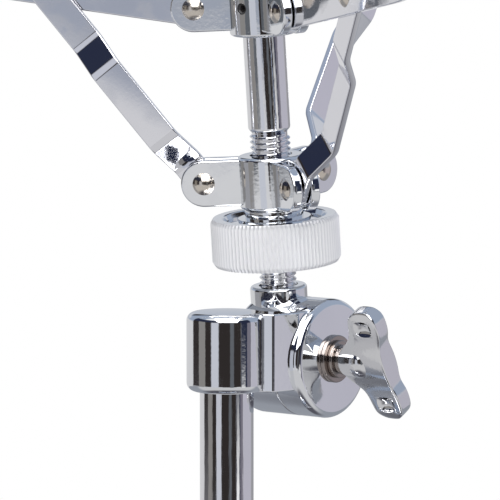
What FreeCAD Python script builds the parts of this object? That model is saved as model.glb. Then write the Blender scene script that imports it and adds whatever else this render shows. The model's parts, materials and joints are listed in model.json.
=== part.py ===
import FreeCAD, Part
import math
import os

# Snare drum stand: tripod with channel legs, telescoping tube, offset tilter and a three-arm basket.
# Millimetres and degrees. The floor is z = 0, the tube axis is Z, and the tilter screw points along +X.

DRIVING_SIZES = {
    # fits
    "running_gap": 0.05,
    "side_gap": 0.3,
    "overrun": 2.0,
    # telescoping tubes
    "base_tube_diameter": 25.4,
    "base_tube_wall": 1.5,
    "base_tube_foot": 33.0,
    "bare_tube_length": 98.0,
    "upper_tube_diameter": 19.05,
    "upper_tube_wall": 1.3,
    "upper_tube_foot": 262.0,
    "plug_length": 12.0,
    "plug_rim": 2.5,
    # tripod
    "leg_pivot_radius": 25.0,
    "stay_pivot_height": 44.0,
    "stay_length": 137.0,
    "leg_spread": 46.0,
    "leg_width": 14.0,
    "leg_depth": 12.0,
    "leg_wall": 1.5,
    "leg_web_setback": 9.0,
    "stay_wall": 1.4,
    "stay_depth": 8.0,
    "stay_web_setback": 8.0,
    "stay_hub_diameter": 33.0,
    "stay_hub_length": 22.0,
    "stay_lug_end": 4.2,
    "collar_diameter": 35.0,
    "collar_length": 26.0,
    "collar_lug_end": 5.6,
    "collar_boss_diameter": 14.0,
    "collar_boss_reach": 25.0,
    "leg_pin_diameter": 5.0,
    "leg_pin_head": 8.0,
    "foot_diameter": 22.0,
    "foot_length": 34.0,
    "foot_flat_depth": 2.5,
    # height clamp and memory lock
    "clamp_diameter": 36.0,
    "clamp_length": 34.0,
    "clamp_below_top": 26.0,
    "clamp_ear_reach": 32.0,
    "clamp_ear_width": 8.0,
    "clamp_ear_height": 20.0,
    "clamp_slot": 2.0,
    "clamp_bolt_diameter": 6.0,
    "clamp_bolt_head": 10.0,
    "clamp_bolt_head_length": 4.0,
    "clamp_washer_diameter": 13.0,
    "clamp_washer_length": 1.6,
    "bushing_length": 34.0,
    "bushing_flange": 3.0,
    "memory_diameter": 31.0,
    "memory_length": 15.0,
    "memory_ear_reach": 26.0,
    "memory_ear_width": 12.0,
    "memory_screw_diameter": 5.0,
    "memory_screw_head": 6.0,
    "memory_screw_head_length": 9.0,
    # tilter
    "tilt_axis_height": 470.0,
    "tilt_axis_offset": 32.2,
    "rest_tilt": 5.4,
    "drum_diameter": 42.6,
    "head_back": 10.0,
    "head_front": 11.2,
    "head_round": 5.5,
    "boss_diameter": 20.4,
    "boss_top": 25.3,
    "boss_round": 1.2,
    "cup_diameter": 28.4,
    "cup_top": 18.0,
    "cup_bottom": 10.0,
    "cup_round": 3.0,
    "cup_roof": 6.0,
    "block_front": 18.5,
    "block_start": 2.3,
    "block_round": 1.5,
    "block_fillet": 2.5,
    "block_web": 12.0,
    "disc_front": 23.4,
    "disc_round": 2.6,
    "tilt_screw_diameter": 8.0,
    "tilt_nut_width": 13.0,
    "tilt_nut_length": 6.5,
    "washer_diameter": 17.0,
    "washer_length": 1.6,
    "washer_small_diameter": 13.5,
    "socket_pin_diameter": 4.0,
    # wing handles: neck circle, two lobe circles and the plate between them
    "wing_neck_place": 4.0,
    "wing_neck_radius": 5.2,
    "wing_lobe_place": 15.9,
    "wing_lobe_offset": 15.0,
    "wing_lobe_radius": 6.8,
    "wing_thickness": 6.6,
    "wing_round": 1.8,
    "wing_barrel_radius": 6.2,
    "wing_barrel_length": 13.0,
    "wing_dimple_radius": 4.2,
    "wing_dimple_depth": 1.3,
    "wing_turn": 27.0,
    # basket rod and knurled nut, heights along the rod from the tilt axis
    "rod_diameter": 15.0,
    "thread_diameter": 14.4,
    "stub_diameter": 13.2,
    "stub_foot": 8.0,
    "thread_foot": 27.0,
    "thread_top": 80.6,
    "rod_top": 139.0,
    "nut_diameter": 46.0,
    "nut_foot": 33.4,
    "nut_height": 17.0,
    "nut_round": 2.4,
    "nut_knurl_depth": 0.55,
    "nut_rim": 4.5,
    "nut_recess": 1.6,
    "nut_neck_diameter": 21.0,
    "knurl_count": 126,
    # hubs
    "hub_diameter": 24.0,
    "hub_pivot_radius": 24.0,
    "hub_ear_end": 8.3,
    "hub_ear_thickness": 3.5,
    "hub_ear_gap": 3.2,
    "lower_hub_foot": 53.6,
    "lower_hub_pivot": 63.3,
    "lower_hub_top": 72.4,
    "upper_hub_foot": 115.6,
    "upper_hub_pivot": 126.0,
    "upper_hub_top": 136.0,
    "rivet_diameter": 4.4,
    "rivet_head": 8.0,
    "set_screw_diameter": 4.0,
    # arms, struts and grips
    "arm_rest_angle": 10.5,
    "arm_depth": 13.3,
    "arm_thickness": 2.5,
    "arm_straight": 95.0,
    "arm_bend_radius": 70.0,
    "arm_bend_turn": 64.5,
    "arm_tip_length": 30.0,
    "strut_joint_place": 54.0,
    "strut_width": 9.8,
    "strut_thickness": 2.4,
    "strut_first_bend": 9.8,
    "strut_bow_start": 21.0,
    "strut_bow_end": 53.0,
    "strut_joggle_end": 69.0,
    "strut_bow": 7.5,
    "strut_bend_round": 3.0,
    "open_pivot_gap": 1.1,
    "grip_wall": 2.6,
    "grip_length": 38.0,
    "grip_round": 2.2,
}

SPOKES = (90.0, 210.0, 330.0)
LEG_SPOKES = (30.0, 150.0, 270.0)
UP = FreeCAD.Vector(0, 0, 1)
EAST = FreeCAD.Vector(1, 0, 0)
NORTH = FreeCAD.Vector(0, 1, 0)
HERE = FreeCAD.Placement()
# A rivet head is the part of a ball above this latitude
DOME_LATITUDE = 42.0
FULL_TURN = 360.0
HEX_SIDES = 6
# The wings of the tripod and the clamp are this much of the tilter's wing
SMALL_WING_SHARE = 0.78
# Side of the upper hub that carries the set screw
SET_SCREW_AZIMUTH = 270.0
# Edges this close to a wanted place are taken as being there
TOUCH = 1e-4

doc = FreeCAD.newDocument("snare_drum_stand")
nodes = []


class Size:
    """A length: its value now, and the formula that ties it to the cells of the sheet."""

    def __init__(self, value, formula):
        self.value = value
        self.formula = formula

    def joined(self, sign, other, value):
        return Size(value, f"({self.formula} {sign} {formula_of(other)})")

    def __add__(self, other):
        return self.joined("+", other, self.value + number(other))

    def __sub__(self, other):
        return self.joined("-", other, self.value - number(other))

    def __mul__(self, other):
        return self.joined("*", other, self.value * number(other))

    def __truediv__(self, other):
        return self.joined("/", other, self.value / number(other))

    def __neg__(self):
        return Size(-self.value, f"(0 - {self.formula})")


def number(length):
    return length.value if isinstance(length, Size) else length


def formula_of(length):
    return length.formula if isinstance(length, Size) else repr(length)


class Sheet:
    """The driving sizes as cells with aliases, read back by name."""

    def __init__(self, values):
        self.cells = doc.addObject("Spreadsheet::Sheet", "Sizes")
        for row, (alias, value) in enumerate(values.items(), start=1):
            self.cells.set(f"A{row}", alias)
            self.cells.set(f"B{row}", str(value))
            self.cells.setAlias(f"B{row}", alias)
        doc.recompute()

    def __getattr__(self, alias):
        return Size(float(self.cells.get(alias)), f"Sizes.{alias}")


size = Sheet(DRIVING_SIZES)


def bind(item, name, length):
    item.setExpression(name, formula_of(length))


def spot(x=0, y=0, z=0, axis=UP, inside=HERE):
    """A place whose own Z runs along axis, in the frame given as inside."""
    base = FreeCAD.Vector(number(x), number(y), number(z))
    return inside.multiply(FreeCAD.Placement(base, FreeCAD.Rotation(UP, axis)))


def turned(axis, angle, inside=HERE):
    turn = FreeCAD.Placement(FreeCAD.Vector(), FreeCAD.Rotation(axis, number(angle)))
    return inside.multiply(turn)


def cylinder(radius, length, place=HERE):
    item = doc.addObject("Part::Cylinder", "Cylinder")
    bind(item, "Radius", radius)
    bind(item, "Height", length)
    item.Placement = place
    return item


def centred_cylinder(radius, length, place=HERE):
    """A cylinder whose middle, not its foot, is at the place."""
    return cylinder(radius, length, spot(z=-length / 2, inside=place))


def slab(length, width, height, place=HERE):
    """A box that starts at the place along X and is centred on it along Y and Z."""
    item = doc.addObject("Part::Box", "Slab")
    bind(item, "Length", length)
    bind(item, "Width", width)
    bind(item, "Height", height)
    item.Placement = spot(y=-width / 2, z=-height / 2, inside=place)
    return item


def dome(radius, place):
    """A rivet head: the cap of a ball, standing on the place."""
    item = doc.addObject("Part::Sphere", "Dome")
    ball = radius / math.cos(math.radians(DOME_LATITUDE))
    bind(item, "Radius", ball)
    item.Angle1 = DOME_LATITUDE
    item.Placement = spot(z=-ball * math.sin(math.radians(DOME_LATITUDE)), inside=place)
    return item


def fuse(items):
    item = doc.addObject("Part::MultiFuse", "Fuse")
    item.Shapes = items
    item.Refine = True
    return item


def cut(base, tools):
    item = doc.addObject("Part::Cut", "Cut")
    item.Base = base
    item.Tool = tools[0] if len(tools) == 1 else fuse(tools)
    item.Refine = True
    return item


def rounded(base, radius, wanted):
    """Fillet the edges of base that the test wanted picks."""
    doc.recompute()
    item = doc.addObject("Part::Fillet", "Round")
    item.Base = base
    edges = enumerate(base.Shape.Edges, start=1)
    item.Edges = [(index, number(radius), number(radius)) for index, edge in edges if wanted(edge)]
    return item


def is_circle_at(place, axis, height, radius):
    """A test for circular edges at a height along an axis of a frame."""
    inverse = place.inverse()

    def wanted(edge):
        if not is_circle(edge):
            return False
        centre = inverse.multVec(edge.Curve.Center)
        close = abs(centre.dot(axis) - number(height)) < TOUCH
        return close and abs(edge.Curve.Radius - number(radius)) < TOUCH

    return wanted


def is_circle(edge):
    return isinstance(edge.Curve, Part.Circle)


def any_edge(edge):
    return True


def shaped(shape, place):
    """A document object that carries a shape made from the sheet's sizes in code."""
    item = doc.addObject("Part::Feature", "Shape")
    item.Shape = shape
    item.Placement = place
    return item


def named(item, label):
    item.Label = label
    nodes.append(item)
    return item


def grouped(items, label):
    group = doc.addObject("Part::Compound", "Group")
    group.Links = items
    return named(group, label)


def rivet(diameter, head, grip, place):
    """A rivet along the place's Z, centred on it, with a domed head outside each end of its grip."""
    above = spot(z=grip / 2, inside=place)
    below = turned(EAST, FULL_TURN / 2, spot(z=-grip / 2, inside=place))
    shank = centred_cylinder(diameter / 2, grip, place)
    return fuse([shank, dome(head / 2, above), dome(head / 2, below)])


def hull_face(circles):
    """A face in the XZ plane round circles (x, z, radius) given anticlockwise, with tangent sides."""
    edges = []
    arcs = []
    count = len(circles)
    for index, (x, z, radius) in enumerate(circles):
        next_x, next_z, next_radius = circles[(index + 1) % count]
        reach = math.hypot(next_x - x, next_z - z)
        heading = math.atan2(next_z - z, next_x - x)
        lean = heading - math.acos((radius - next_radius) / reach)
        start = FreeCAD.Vector(x + radius * math.cos(lean), 0, z + radius * math.sin(lean))
        end = FreeCAD.Vector(next_x + next_radius * math.cos(lean), 0, next_z + next_radius * math.sin(lean))
        edges.append(Part.LineSegment(start, end))
        arcs.append((start, end, lean))
    for index, (x, z, radius) in enumerate(circles):
        arrive = arcs[index - 1][1]
        leave, _, lean = arcs[index]
        turn = (lean - arcs[index - 1][2]) % (2 * math.pi)
        middle = lean - turn / 2
        top = FreeCAD.Vector(x + radius * math.cos(middle), 0, z + radius * math.sin(middle))
        edges.append(Part.Arc(arrive, top, leave))
    wire = Part.Wire(Part.__sortEdges__([edge.toShape() for edge in edges]))
    return Part.Face(wire)


def wing_handle(scale_share):
    """A cast wing along +X: neck, two dished lobes, thick plate with soft edges and a round barrel."""
    neck_place = size.wing_neck_place.value * scale_share
    neck_radius = size.wing_neck_radius.value * scale_share
    lobe_place = size.wing_lobe_place.value * scale_share
    lobe_offset = size.wing_lobe_offset.value * scale_share
    lobe_radius = size.wing_lobe_radius.value * scale_share
    thickness = size.wing_thickness.value * scale_share
    circles = [
        (neck_place, 0, neck_radius),
        (lobe_place, -lobe_offset, lobe_radius),
        (lobe_place, lobe_offset, lobe_radius),
    ]
    plate = hull_face(circles).extrude(NORTH * thickness)
    plate.translate(NORTH * (-thickness / 2))
    plate = plate.makeFillet(size.wing_round.value * scale_share, plate.Edges)
    barrel_radius = size.wing_barrel_radius.value * scale_share
    barrel_length = size.wing_barrel_length.value * scale_share
    barrel = Part.makeCylinder(barrel_radius, barrel_length, FreeCAD.Vector(), EAST)
    far_rim = [edge for edge in barrel.Edges if edge.BoundBox.XMin > barrel_length / 2]
    barrel = barrel.makeFillet(size.wing_round.value * scale_share, far_rim)
    wing = plate.fuse(barrel)
    ball = size.wing_dimple_radius.value * scale_share
    depth = size.wing_dimple_depth.value * scale_share
    for side in (-1, 1):
        for end in (-1, 1):
            centre = FreeCAD.Vector(lobe_place, side * (thickness / 2 + ball - depth), end * lobe_offset)
            wing = wing.cut(Part.makeSphere(ball, centre))
    return wing.removeSplitter()


# Frames of the assembly
TILT_AXIS = spot(y=size.tilt_axis_offset, z=size.tilt_axis_height)
ROD = turned(EAST, size.rest_tilt, TILT_AXIS)
COLLAR_HEIGHT = size.stay_pivot_height + size.stay_length * 2 * math.cos(math.radians(size.leg_spread.value))
# The upper tube is bare from here up to the tilter's screw
BASE_TUBE_TOP = size.tilt_axis_height - size.bare_tube_length


def spoke(azimuth, inside=HERE):
    return turned(UP, azimuth, inside)


def lug(root_radius, pivot_radius, end, thickness, place, offset=0):
    """A plate from root_radius to a round end about the pivot, lying in the place's XZ plane."""
    middle = spot(y=offset, inside=place)
    arm = slab(pivot_radius - root_radius, thickness, end * 2, spot(x=root_radius, inside=middle))
    tip = centred_cylinder(end, thickness, spot(x=pivot_radius, axis=NORTH, inside=middle))
    return [arm, tip]


# Tubes
def make_base_tube():
    radius = size.base_tube_diameter / 2
    length = BASE_TUBE_TOP - size.base_tube_foot
    outside = cylinder(radius, length, spot(z=size.base_tube_foot))
    bore_foot = spot(z=size.base_tube_foot - size.overrun)
    bore = cylinder(radius - size.base_tube_wall, length + size.overrun * 2, bore_foot)
    named(cut(outside, [bore]), "base_tube")


def make_tube_plug():
    bore = size.base_tube_diameter / 2 - size.base_tube_wall - size.running_gap
    stem = cylinder(bore, size.plug_length, spot(z=size.base_tube_foot))
    rim_place = spot(z=size.base_tube_foot - size.plug_rim)
    rim = cylinder(size.base_tube_diameter / 2, size.plug_rim, rim_place)
    outer_edge = is_circle_at(HERE, UP, rim_place.Base.z, size.base_tube_diameter / 2)
    soft_rim = rounded(rim, size.plug_rim / 2, outer_edge)
    named(fuse([stem, soft_rim]), "tube_plug")


def make_upper_tube():
    radius = size.upper_tube_diameter / 2
    top = size.tilt_axis_height + size.cup_top - size.cup_roof - size.side_gap
    length = top - size.upper_tube_foot
    outside = cylinder(radius, length, spot(z=size.upper_tube_foot))
    bore_foot = spot(z=size.upper_tube_foot - size.overrun)
    bore = cylinder(radius - size.upper_tube_wall, length + size.overrun * 2, bore_foot)
    pin_hole = socket_pin_shape(size.running_gap, size.overrun)
    named(cut(outside, [bore, pin_hole]), "upper_tube")


# Tripod
def make_stay_hub():
    middle = spot(z=size.stay_pivot_height)
    sleeve = centred_cylinder(size.stay_hub_diameter / 2, size.stay_hub_length, middle)
    body = [sleeve]
    bore = size.base_tube_diameter / 2 + size.running_gap
    holes = [centred_cylinder(bore, size.stay_hub_length * 2, middle)]
    pins = []
    for azimuth in LEG_SPOKES:
        place = spoke(azimuth, middle)
        root = size.base_tube_diameter / 2 + size.overrun
        body += lug(root, size.leg_pivot_radius, size.stay_lug_end, stay_lug_width(), place)
        pivot = spot(x=size.leg_pivot_radius, axis=NORTH, inside=place)
        hole = size.leg_pin_diameter / 2 + size.running_gap
        holes.append(centred_cylinder(hole, size.leg_width, pivot))
        pins.append(rivet(size.leg_pin_diameter, size.leg_pin_head, stay_width() + size.side_gap, pivot))
    named(cut(fuse(body), holes), "stay_hub")
    grouped(pins, "stay_pins")


def stay_width():
    return size.leg_width - size.leg_wall * 2 - size.side_gap * 2


def stay_lug_width():
    return stay_width() - size.stay_wall * 2 - size.side_gap * 2


def leg_frame(azimuth):
    """Leg frame at its top pivot: X runs down the leg, Z points away from the tube."""
    pivot = spot(x=size.leg_pivot_radius, z=COLLAR_HEIGHT, inside=spoke(azimuth))
    return turned(NORTH, FULL_TURN / 4 - size.leg_spread.value, pivot)


def stay_frame(azimuth):
    """Stay frame at the hub pivot: X runs up and out along the stay, Z points up towards the tube."""
    pivot = spot(x=size.leg_pivot_radius, z=size.stay_pivot_height, inside=spoke(azimuth))
    return turned(NORTH, -(FULL_TURN / 4 - size.leg_spread.value), pivot)


def foot_place():
    """Distance down the leg to the centre of the foot's ball, so that its flat is on the floor."""
    lowest = COLLAR_HEIGHT - size.foot_diameter / 2 + size.foot_flat_depth
    return lowest / math.cos(math.radians(size.leg_spread.value))


def channel(length, width, depth, wall, setback, far_end, place):
    """A pressed channel along X: two side walls with round ends and a web that starts after a setback."""
    parts = []
    for side in (-1, 1):
        middle = spot(y=(width - wall) * (side / 2), inside=place)
        parts.append(slab(length, wall, depth, middle))
        parts.append(centred_cylinder(depth / 2, wall, spot(axis=NORTH, inside=middle)))
        if far_end:
            parts.append(centred_cylinder(depth / 2, wall, spot(x=length, axis=NORTH, inside=middle)))
    web_place = spot(x=setback, z=(depth - wall) / 2, inside=place)
    parts.append(slab(length - setback, width, wall, web_place))
    return fuse(parts)


def make_leg(index, azimuth):
    frame = leg_frame(azimuth)
    length = foot_place() - size.foot_flat_depth
    bar = channel(length, size.leg_width, size.leg_depth, size.leg_wall, size.leg_web_setback, False, frame)
    holes = []
    pins = []
    for place in (0, size.stay_length):
        pivot = spot(x=place, axis=NORTH, inside=frame)
        hole = size.leg_pin_diameter / 2 + size.running_gap
        holes.append(centred_cylinder(hole, size.leg_width * 2, pivot))
        pins.append(rivet(size.leg_pin_diameter, size.leg_pin_head, size.leg_width, pivot))
    named(cut(bar, holes), f"leg_{index}")
    grouped(pins, f"leg_pins_{index}")


def make_foot(index, azimuth):
    frame = leg_frame(azimuth)
    radius = size.foot_diameter / 2
    ball_place = spot(x=foot_place(), inside=frame)
    ball = doc.addObject("Part::Sphere", "FootBall")
    bind(ball, "Radius", radius)
    ball.Placement = ball_place
    sleeve = cylinder(radius, size.foot_length, spot(axis=-EAST, inside=ball_place))
    mouth_centre = foot_place() - size.foot_length
    mouth = is_circle_at(frame, EAST, mouth_centre, radius)
    soft = rounded(sleeve, size.foot_flat_depth, mouth)
    room = size.running_gap * 2
    pocket_start = spot(x=mouth_centre - size.overrun, inside=frame)
    pocket_length = size.foot_length + size.overrun - size.foot_flat_depth + size.running_gap
    pocket = slab(pocket_length, size.leg_width + room, size.leg_depth + room, pocket_start)
    floor_spot = frame.multVec(FreeCAD.Vector(foot_place().value, 0, 0))
    side = size.foot_length * 2
    under = slab(side, side, side, spot(x=floor_spot.x - side.value / 2, y=floor_spot.y, z=-side / 2))
    named(cut(fuse([ball, soft]), [pocket, under]), f"foot_{index}")


def make_stay(index, azimuth):
    frame = stay_frame(azimuth)
    setback = size.stay_web_setback
    bar = channel(size.stay_length, stay_width(), size.stay_depth, size.stay_wall, setback, True, frame)
    holes = []
    for place in (0, size.stay_length):
        pivot = spot(x=place, axis=NORTH, inside=frame)
        holes.append(centred_cylinder(size.leg_pin_diameter / 2 + size.running_gap, size.leg_width, pivot))
    named(cut(bar, holes), f"stay_{index}")


def make_leg_collar():
    middle = spot(z=COLLAR_HEIGHT)
    body = [centred_cylinder(size.collar_diameter / 2, size.collar_length, middle)]
    bore = size.base_tube_diameter / 2 + size.running_gap * 2
    holes = [centred_cylinder(bore, size.collar_length * 2, middle)]
    lug_width = size.leg_width - size.leg_wall * 2 - size.side_gap * 2
    for azimuth in LEG_SPOKES:
        place = spoke(azimuth, middle)
        root = size.base_tube_diameter / 2 + size.overrun
        body += lug(root, size.leg_pivot_radius, size.collar_lug_end, lug_width, place)
        pivot = spot(x=size.leg_pivot_radius, axis=NORTH, inside=place)
        holes.append(centred_cylinder(size.leg_pin_diameter / 2 + size.running_gap, size.leg_width, pivot))
    boss_axis = spot(axis=NORTH, inside=middle)
    body.append(cylinder(size.collar_boss_diameter / 2, size.collar_boss_reach, boss_axis))
    thread = size.clamp_bolt_diameter / 2 + size.running_gap
    holes.append(cylinder(thread, size.collar_boss_reach * 2, spot(axis=NORTH, inside=middle)))
    named(cut(fuse(body), holes), "leg_collar")


def make_collar_wing_bolt():
    start = size.base_tube_diameter / 2 + size.side_gap
    wing_start = size.collar_boss_reach + size.clamp_washer_length
    base = spot(z=COLLAR_HEIGHT)
    shank = cylinder(size.clamp_bolt_diameter / 2, wing_start - start + size.overrun,
                     spot(y=start, axis=NORTH, inside=base))
    across = FreeCAD.Placement(FreeCAD.Vector(0, wing_start.value, COLLAR_HEIGHT.value),
                               FreeCAD.Rotation(UP, FULL_TURN / 4))
    wing = shaped(wing_handle(SMALL_WING_SHARE), turned(EAST, size.wing_turn, across))
    named(fuse([shank, wing]), "collar_wing_bolt")


# Height clamp and memory lock
def clamp_foot():
    return BASE_TUBE_TOP - size.clamp_below_top


def clamp_bolt_x():
    return (size.clamp_diameter / 2 + size.clamp_ear_reach) / 2


def make_height_clamp():
    middle = spot(z=clamp_foot() + size.clamp_length / 2)
    ring = centred_cylinder(size.clamp_diameter / 2, size.clamp_length, middle)
    ears_width = size.clamp_ear_width * 2 + size.clamp_slot
    ears = slab(size.clamp_ear_reach, ears_width, size.clamp_ear_height, middle)
    bore = centred_cylinder(size.base_tube_diameter / 2 + size.running_gap, size.clamp_length * 2, middle)
    slot = slab(size.clamp_ear_reach * 2, size.clamp_slot, size.clamp_length * 2, middle)
    bolt_hole = centred_cylinder(size.clamp_bolt_diameter / 2 + size.running_gap, size.clamp_ear_reach * 2,
                                 spot(x=clamp_bolt_x(), axis=NORTH, inside=middle))
    solid = fuse([ring, ears])
    corner = size.clamp_ear_reach

    def outer_upright(edge):
        box = edge.BoundBox
        return box.XMin > corner.value - TOUCH and box.ZLength > TOUCH

    soft = rounded(solid, size.clamp_ear_width / 2, outer_upright)
    named(cut(soft, [bore, slot, bolt_hole]), "height_clamp")


def make_clamp_fittings():
    middle = spot(x=clamp_bolt_x(), z=clamp_foot() + size.clamp_length / 2)
    half = size.clamp_ear_width + size.clamp_slot / 2
    head_place = spot(y=-half, axis=-NORTH, inside=middle)
    head = cylinder(size.clamp_bolt_head / 2, size.clamp_bolt_head_length, head_place)
    shank_length = half * 2 + size.clamp_washer_length + size.wing_barrel_length * SMALL_WING_SHARE
    shank = cylinder(size.clamp_bolt_diameter / 2, shank_length, spot(y=-half, axis=NORTH, inside=middle))
    named(fuse([head, shank]), "clamp_bolt")
    hole = size.clamp_bolt_diameter / 2 + size.running_gap
    washer_place = spot(y=half, axis=NORTH, inside=middle)
    washer = cylinder(size.clamp_washer_diameter / 2, size.clamp_washer_length, washer_place)
    washer_hole = centred_cylinder(hole, size.clamp_washer_length * 4, washer_place)
    named(cut(washer, [washer_hole]), "clamp_washer")
    wing_place = spot(y=half + size.clamp_washer_length + size.running_gap, inside=middle)
    across = turned(EAST, -size.wing_turn.value, turned(UP, FULL_TURN / 4, wing_place))
    wing = shaped(wing_handle(SMALL_WING_SHARE), across)
    bore_length = size.wing_lobe_place * 4
    wing_hole = centred_cylinder(hole, bore_length, spot(axis=NORTH, inside=wing_place))
    named(cut(wing, [wing_hole]), "clamp_wing_nut")


def make_clamp_bushing():
    outer = size.base_tube_diameter / 2 - size.base_tube_wall - size.running_gap
    sleeve = cylinder(outer, size.bushing_length, spot(z=BASE_TUBE_TOP - size.bushing_length))
    flange = cylinder(size.base_tube_diameter / 2, size.bushing_flange, spot(z=BASE_TUBE_TOP))
    bore = centred_cylinder(size.upper_tube_diameter / 2 + size.running_gap, size.bushing_length * 4,
                            spot(z=BASE_TUBE_TOP))
    named(cut(fuse([sleeve, flange]), [bore]), "clamp_bushing")


def make_memory_lock():
    foot = clamp_foot() + size.clamp_length + size.side_gap
    middle = spot(z=foot + size.memory_length / 2)
    ring = centred_cylinder(size.memory_diameter / 2, size.memory_length, middle)
    ear_side = turned(UP, FULL_TURN / 2, middle)
    ear = slab(size.memory_ear_reach, size.memory_ear_width, size.memory_length, ear_side)
    bore = centred_cylinder(size.upper_tube_diameter / 2 + size.running_gap, size.memory_length * 2, middle)
    slot = slab(size.memory_ear_reach * 2, size.clamp_slot, size.memory_length * 2, ear_side)
    screw_x = -(size.memory_diameter / 2 + size.memory_ear_reach) / 2
    across = spot(x=screw_x, axis=NORTH, inside=middle)
    hole_radius = size.memory_screw_diameter / 2 + size.running_gap
    hole = centred_cylinder(hole_radius, size.memory_ear_width * 2, across)
    named(cut(fuse([ring, ear]), [bore, slot, hole]), "memory_lock")
    shank = centred_cylinder(size.memory_screw_diameter / 2, size.memory_ear_width, across)
    head_place = spot(x=screw_x, y=size.memory_ear_width / 2, inside=middle)
    head = slab(size.memory_screw_head_length, size.memory_screw_head, size.memory_screw_head,
                turned(UP, FULL_TURN / 4, head_place))
    named(fuse([shank, head]), "memory_screw")


# Tilter
def socket_pin_shape(room, lead):
    """The pin that holds the socket on the tube, driven in from the side away from the wing screw."""
    height = size.tilt_axis_height - size.cup_bottom + size.socket_pin_diameter
    start = size.cup_diameter / 2 + lead
    end = size.upper_tube_diameter / 2 - size.upper_tube_wall * 2
    place = spot(x=-start, z=height, axis=EAST)
    return cylinder(size.socket_pin_diameter / 2 + room, start - end, place)


def make_socket_pin():
    named(socket_pin_shape(0, 0), "socket_pin")


def is_block_front(edge):
    """Edges round the front face of the block."""
    return edge.BoundBox.XMin > size.block_front.value - TOUCH


def block_fillet(middle, height):
    """The hollow that blends the block's side into the cup."""
    radius = size.block_fillet
    cup = math.sqrt((size.cup_diameter.value / 2) ** 2 - size.block_start.value ** 2)
    corner = spot(x=cup, y=size.block_start, z=middle)
    length = height - size.cup_round
    filling = slab(radius + size.overrun, radius, length, spot(x=-size.overrun, y=-radius / 2, inside=corner))
    hollow = centred_cylinder(radius, height * 2, spot(x=radius, y=-radius, inside=corner))
    return cut(filling, [hollow])


def make_tilter_socket():
    height = size.cup_top + size.cup_bottom
    cup_foot = size.tilt_axis_height - size.cup_bottom
    radius = size.cup_diameter / 2
    cup = cylinder(radius, height, spot(z=cup_foot))
    soft_cup = rounded(cup, size.cup_round, is_circle)
    middle = cup_foot + height / 2
    disc_back = size.head_front + size.side_gap
    drum = size.drum_diameter / 2
    reach = size.tilt_axis_offset - size.block_start
    wall = slab(size.block_front - disc_back, reach, height,
                spot(x=disc_back, y=size.block_start + reach / 2, z=middle))
    soft_wall = rounded(wall, size.block_round, is_block_front)
    web_reach = size.block_web - size.block_start
    web = slab(disc_back + size.overrun, web_reach, height,
               spot(y=size.block_start + web_reach / 2, z=middle))
    disc = cylinder(drum, size.disc_front - disc_back, spot(x=disc_back, axis=EAST, inside=TILT_AXIS))
    soft_disc = rounded(disc, size.disc_round, is_circle_at(TILT_AXIS, EAST, size.disc_front, drum))
    relief_length = size.head_back + disc_back + size.overrun
    relief = cylinder(drum + size.side_gap, relief_length,
                      spot(x=-(size.head_back + size.overrun), axis=EAST, inside=TILT_AXIS))
    bore_foot = cup_foot - size.overrun
    bore_top = size.tilt_axis_height + size.cup_top - size.cup_roof
    bore = cylinder(size.upper_tube_diameter / 2 + size.running_gap, bore_top - bore_foot, spot(z=bore_foot))
    screw_hole = centred_cylinder(size.tilt_screw_diameter / 2 + size.running_gap, size.disc_front * 4,
                                  spot(axis=EAST, inside=TILT_AXIS))
    pin_hole = socket_pin_shape(size.running_gap, size.overrun)
    casting = fuse([soft_cup, soft_wall, web, soft_disc, block_fillet(middle, height)])
    named(cut(casting, [relief, bore, screw_hole, pin_hole]), "tilter_socket")


def make_tilter_head():
    radius = size.drum_diameter / 2
    drum = cylinder(radius, size.head_back + size.head_front, spot(x=-size.head_back, axis=EAST, inside=ROD))
    soft_drum = rounded(drum, size.head_round, is_circle_at(ROD, EAST, -size.head_back, radius))
    boss = cylinder(size.boss_diameter / 2, size.boss_top, ROD)
    soft_boss = rounded(boss, size.boss_round, is_circle_at(ROD, UP, size.boss_top, size.boss_diameter / 2))
    stub_place = spot(z=size.stub_foot, inside=ROD)
    rod_hole = cylinder(size.stub_diameter / 2 + size.running_gap, size.boss_top, stub_place)
    screw_hole = centred_cylinder(size.tilt_screw_diameter / 2 + size.running_gap, size.drum_diameter * 2,
                                  spot(axis=EAST, inside=ROD))
    nut_room = hexagon(size.tilt_nut_width + size.running_gap * 2, size.tilt_nut_length + size.overrun,
                       spot(x=-size.head_back - size.overrun, axis=EAST, inside=ROD))
    named(cut(fuse([soft_drum, soft_boss]), [rod_hole, screw_hole, nut_room]), "tilter_head")


def hexagon(width, length, place):
    """A hexagonal prism given by its width across flats."""
    item = doc.addObject("Part::Prism", "Hexagon")
    item.Polygon = HEX_SIDES
    bind(item, "Circumradius", width / (2 * math.cos(math.pi / HEX_SIDES)))
    bind(item, "Height", length)
    item.Placement = place
    return item


def make_tilter_nut():
    place = spot(x=-size.head_back, axis=EAST, inside=ROD)
    block = hexagon(size.tilt_nut_width, size.tilt_nut_length, place)
    hole = centred_cylinder(size.tilt_screw_diameter / 2 + size.running_gap, size.tilt_nut_length * 4, place)
    named(cut(block, [hole]), "tilter_nut")


def make_wing_screw():
    washers = size.washer_length * 2
    wing_start = size.disc_front + washers + size.running_gap
    start = -size.head_back
    shank = cylinder(size.tilt_screw_diameter / 2, wing_start - start + size.overrun,
                     spot(x=start, axis=EAST, inside=TILT_AXIS))
    seat = turned(EAST, size.wing_turn, spot(x=wing_start, inside=TILT_AXIS))
    wing = shaped(wing_handle(1), seat)
    named(fuse([shank, wing]), "wing_screw")
    rings = []
    for index, diameter in enumerate((size.washer_diameter, size.washer_small_diameter)):
        place = spot(x=size.disc_front + size.washer_length * index, axis=EAST, inside=TILT_AXIS)
        ring = cylinder(diameter / 2, size.washer_length, place)
        hole_radius = size.tilt_screw_diameter / 2 + size.running_gap
        hole = centred_cylinder(hole_radius, size.washer_length * 4, place)
        rings.append(cut(ring, [hole]))
    grouped(rings, "wing_washers")


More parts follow.
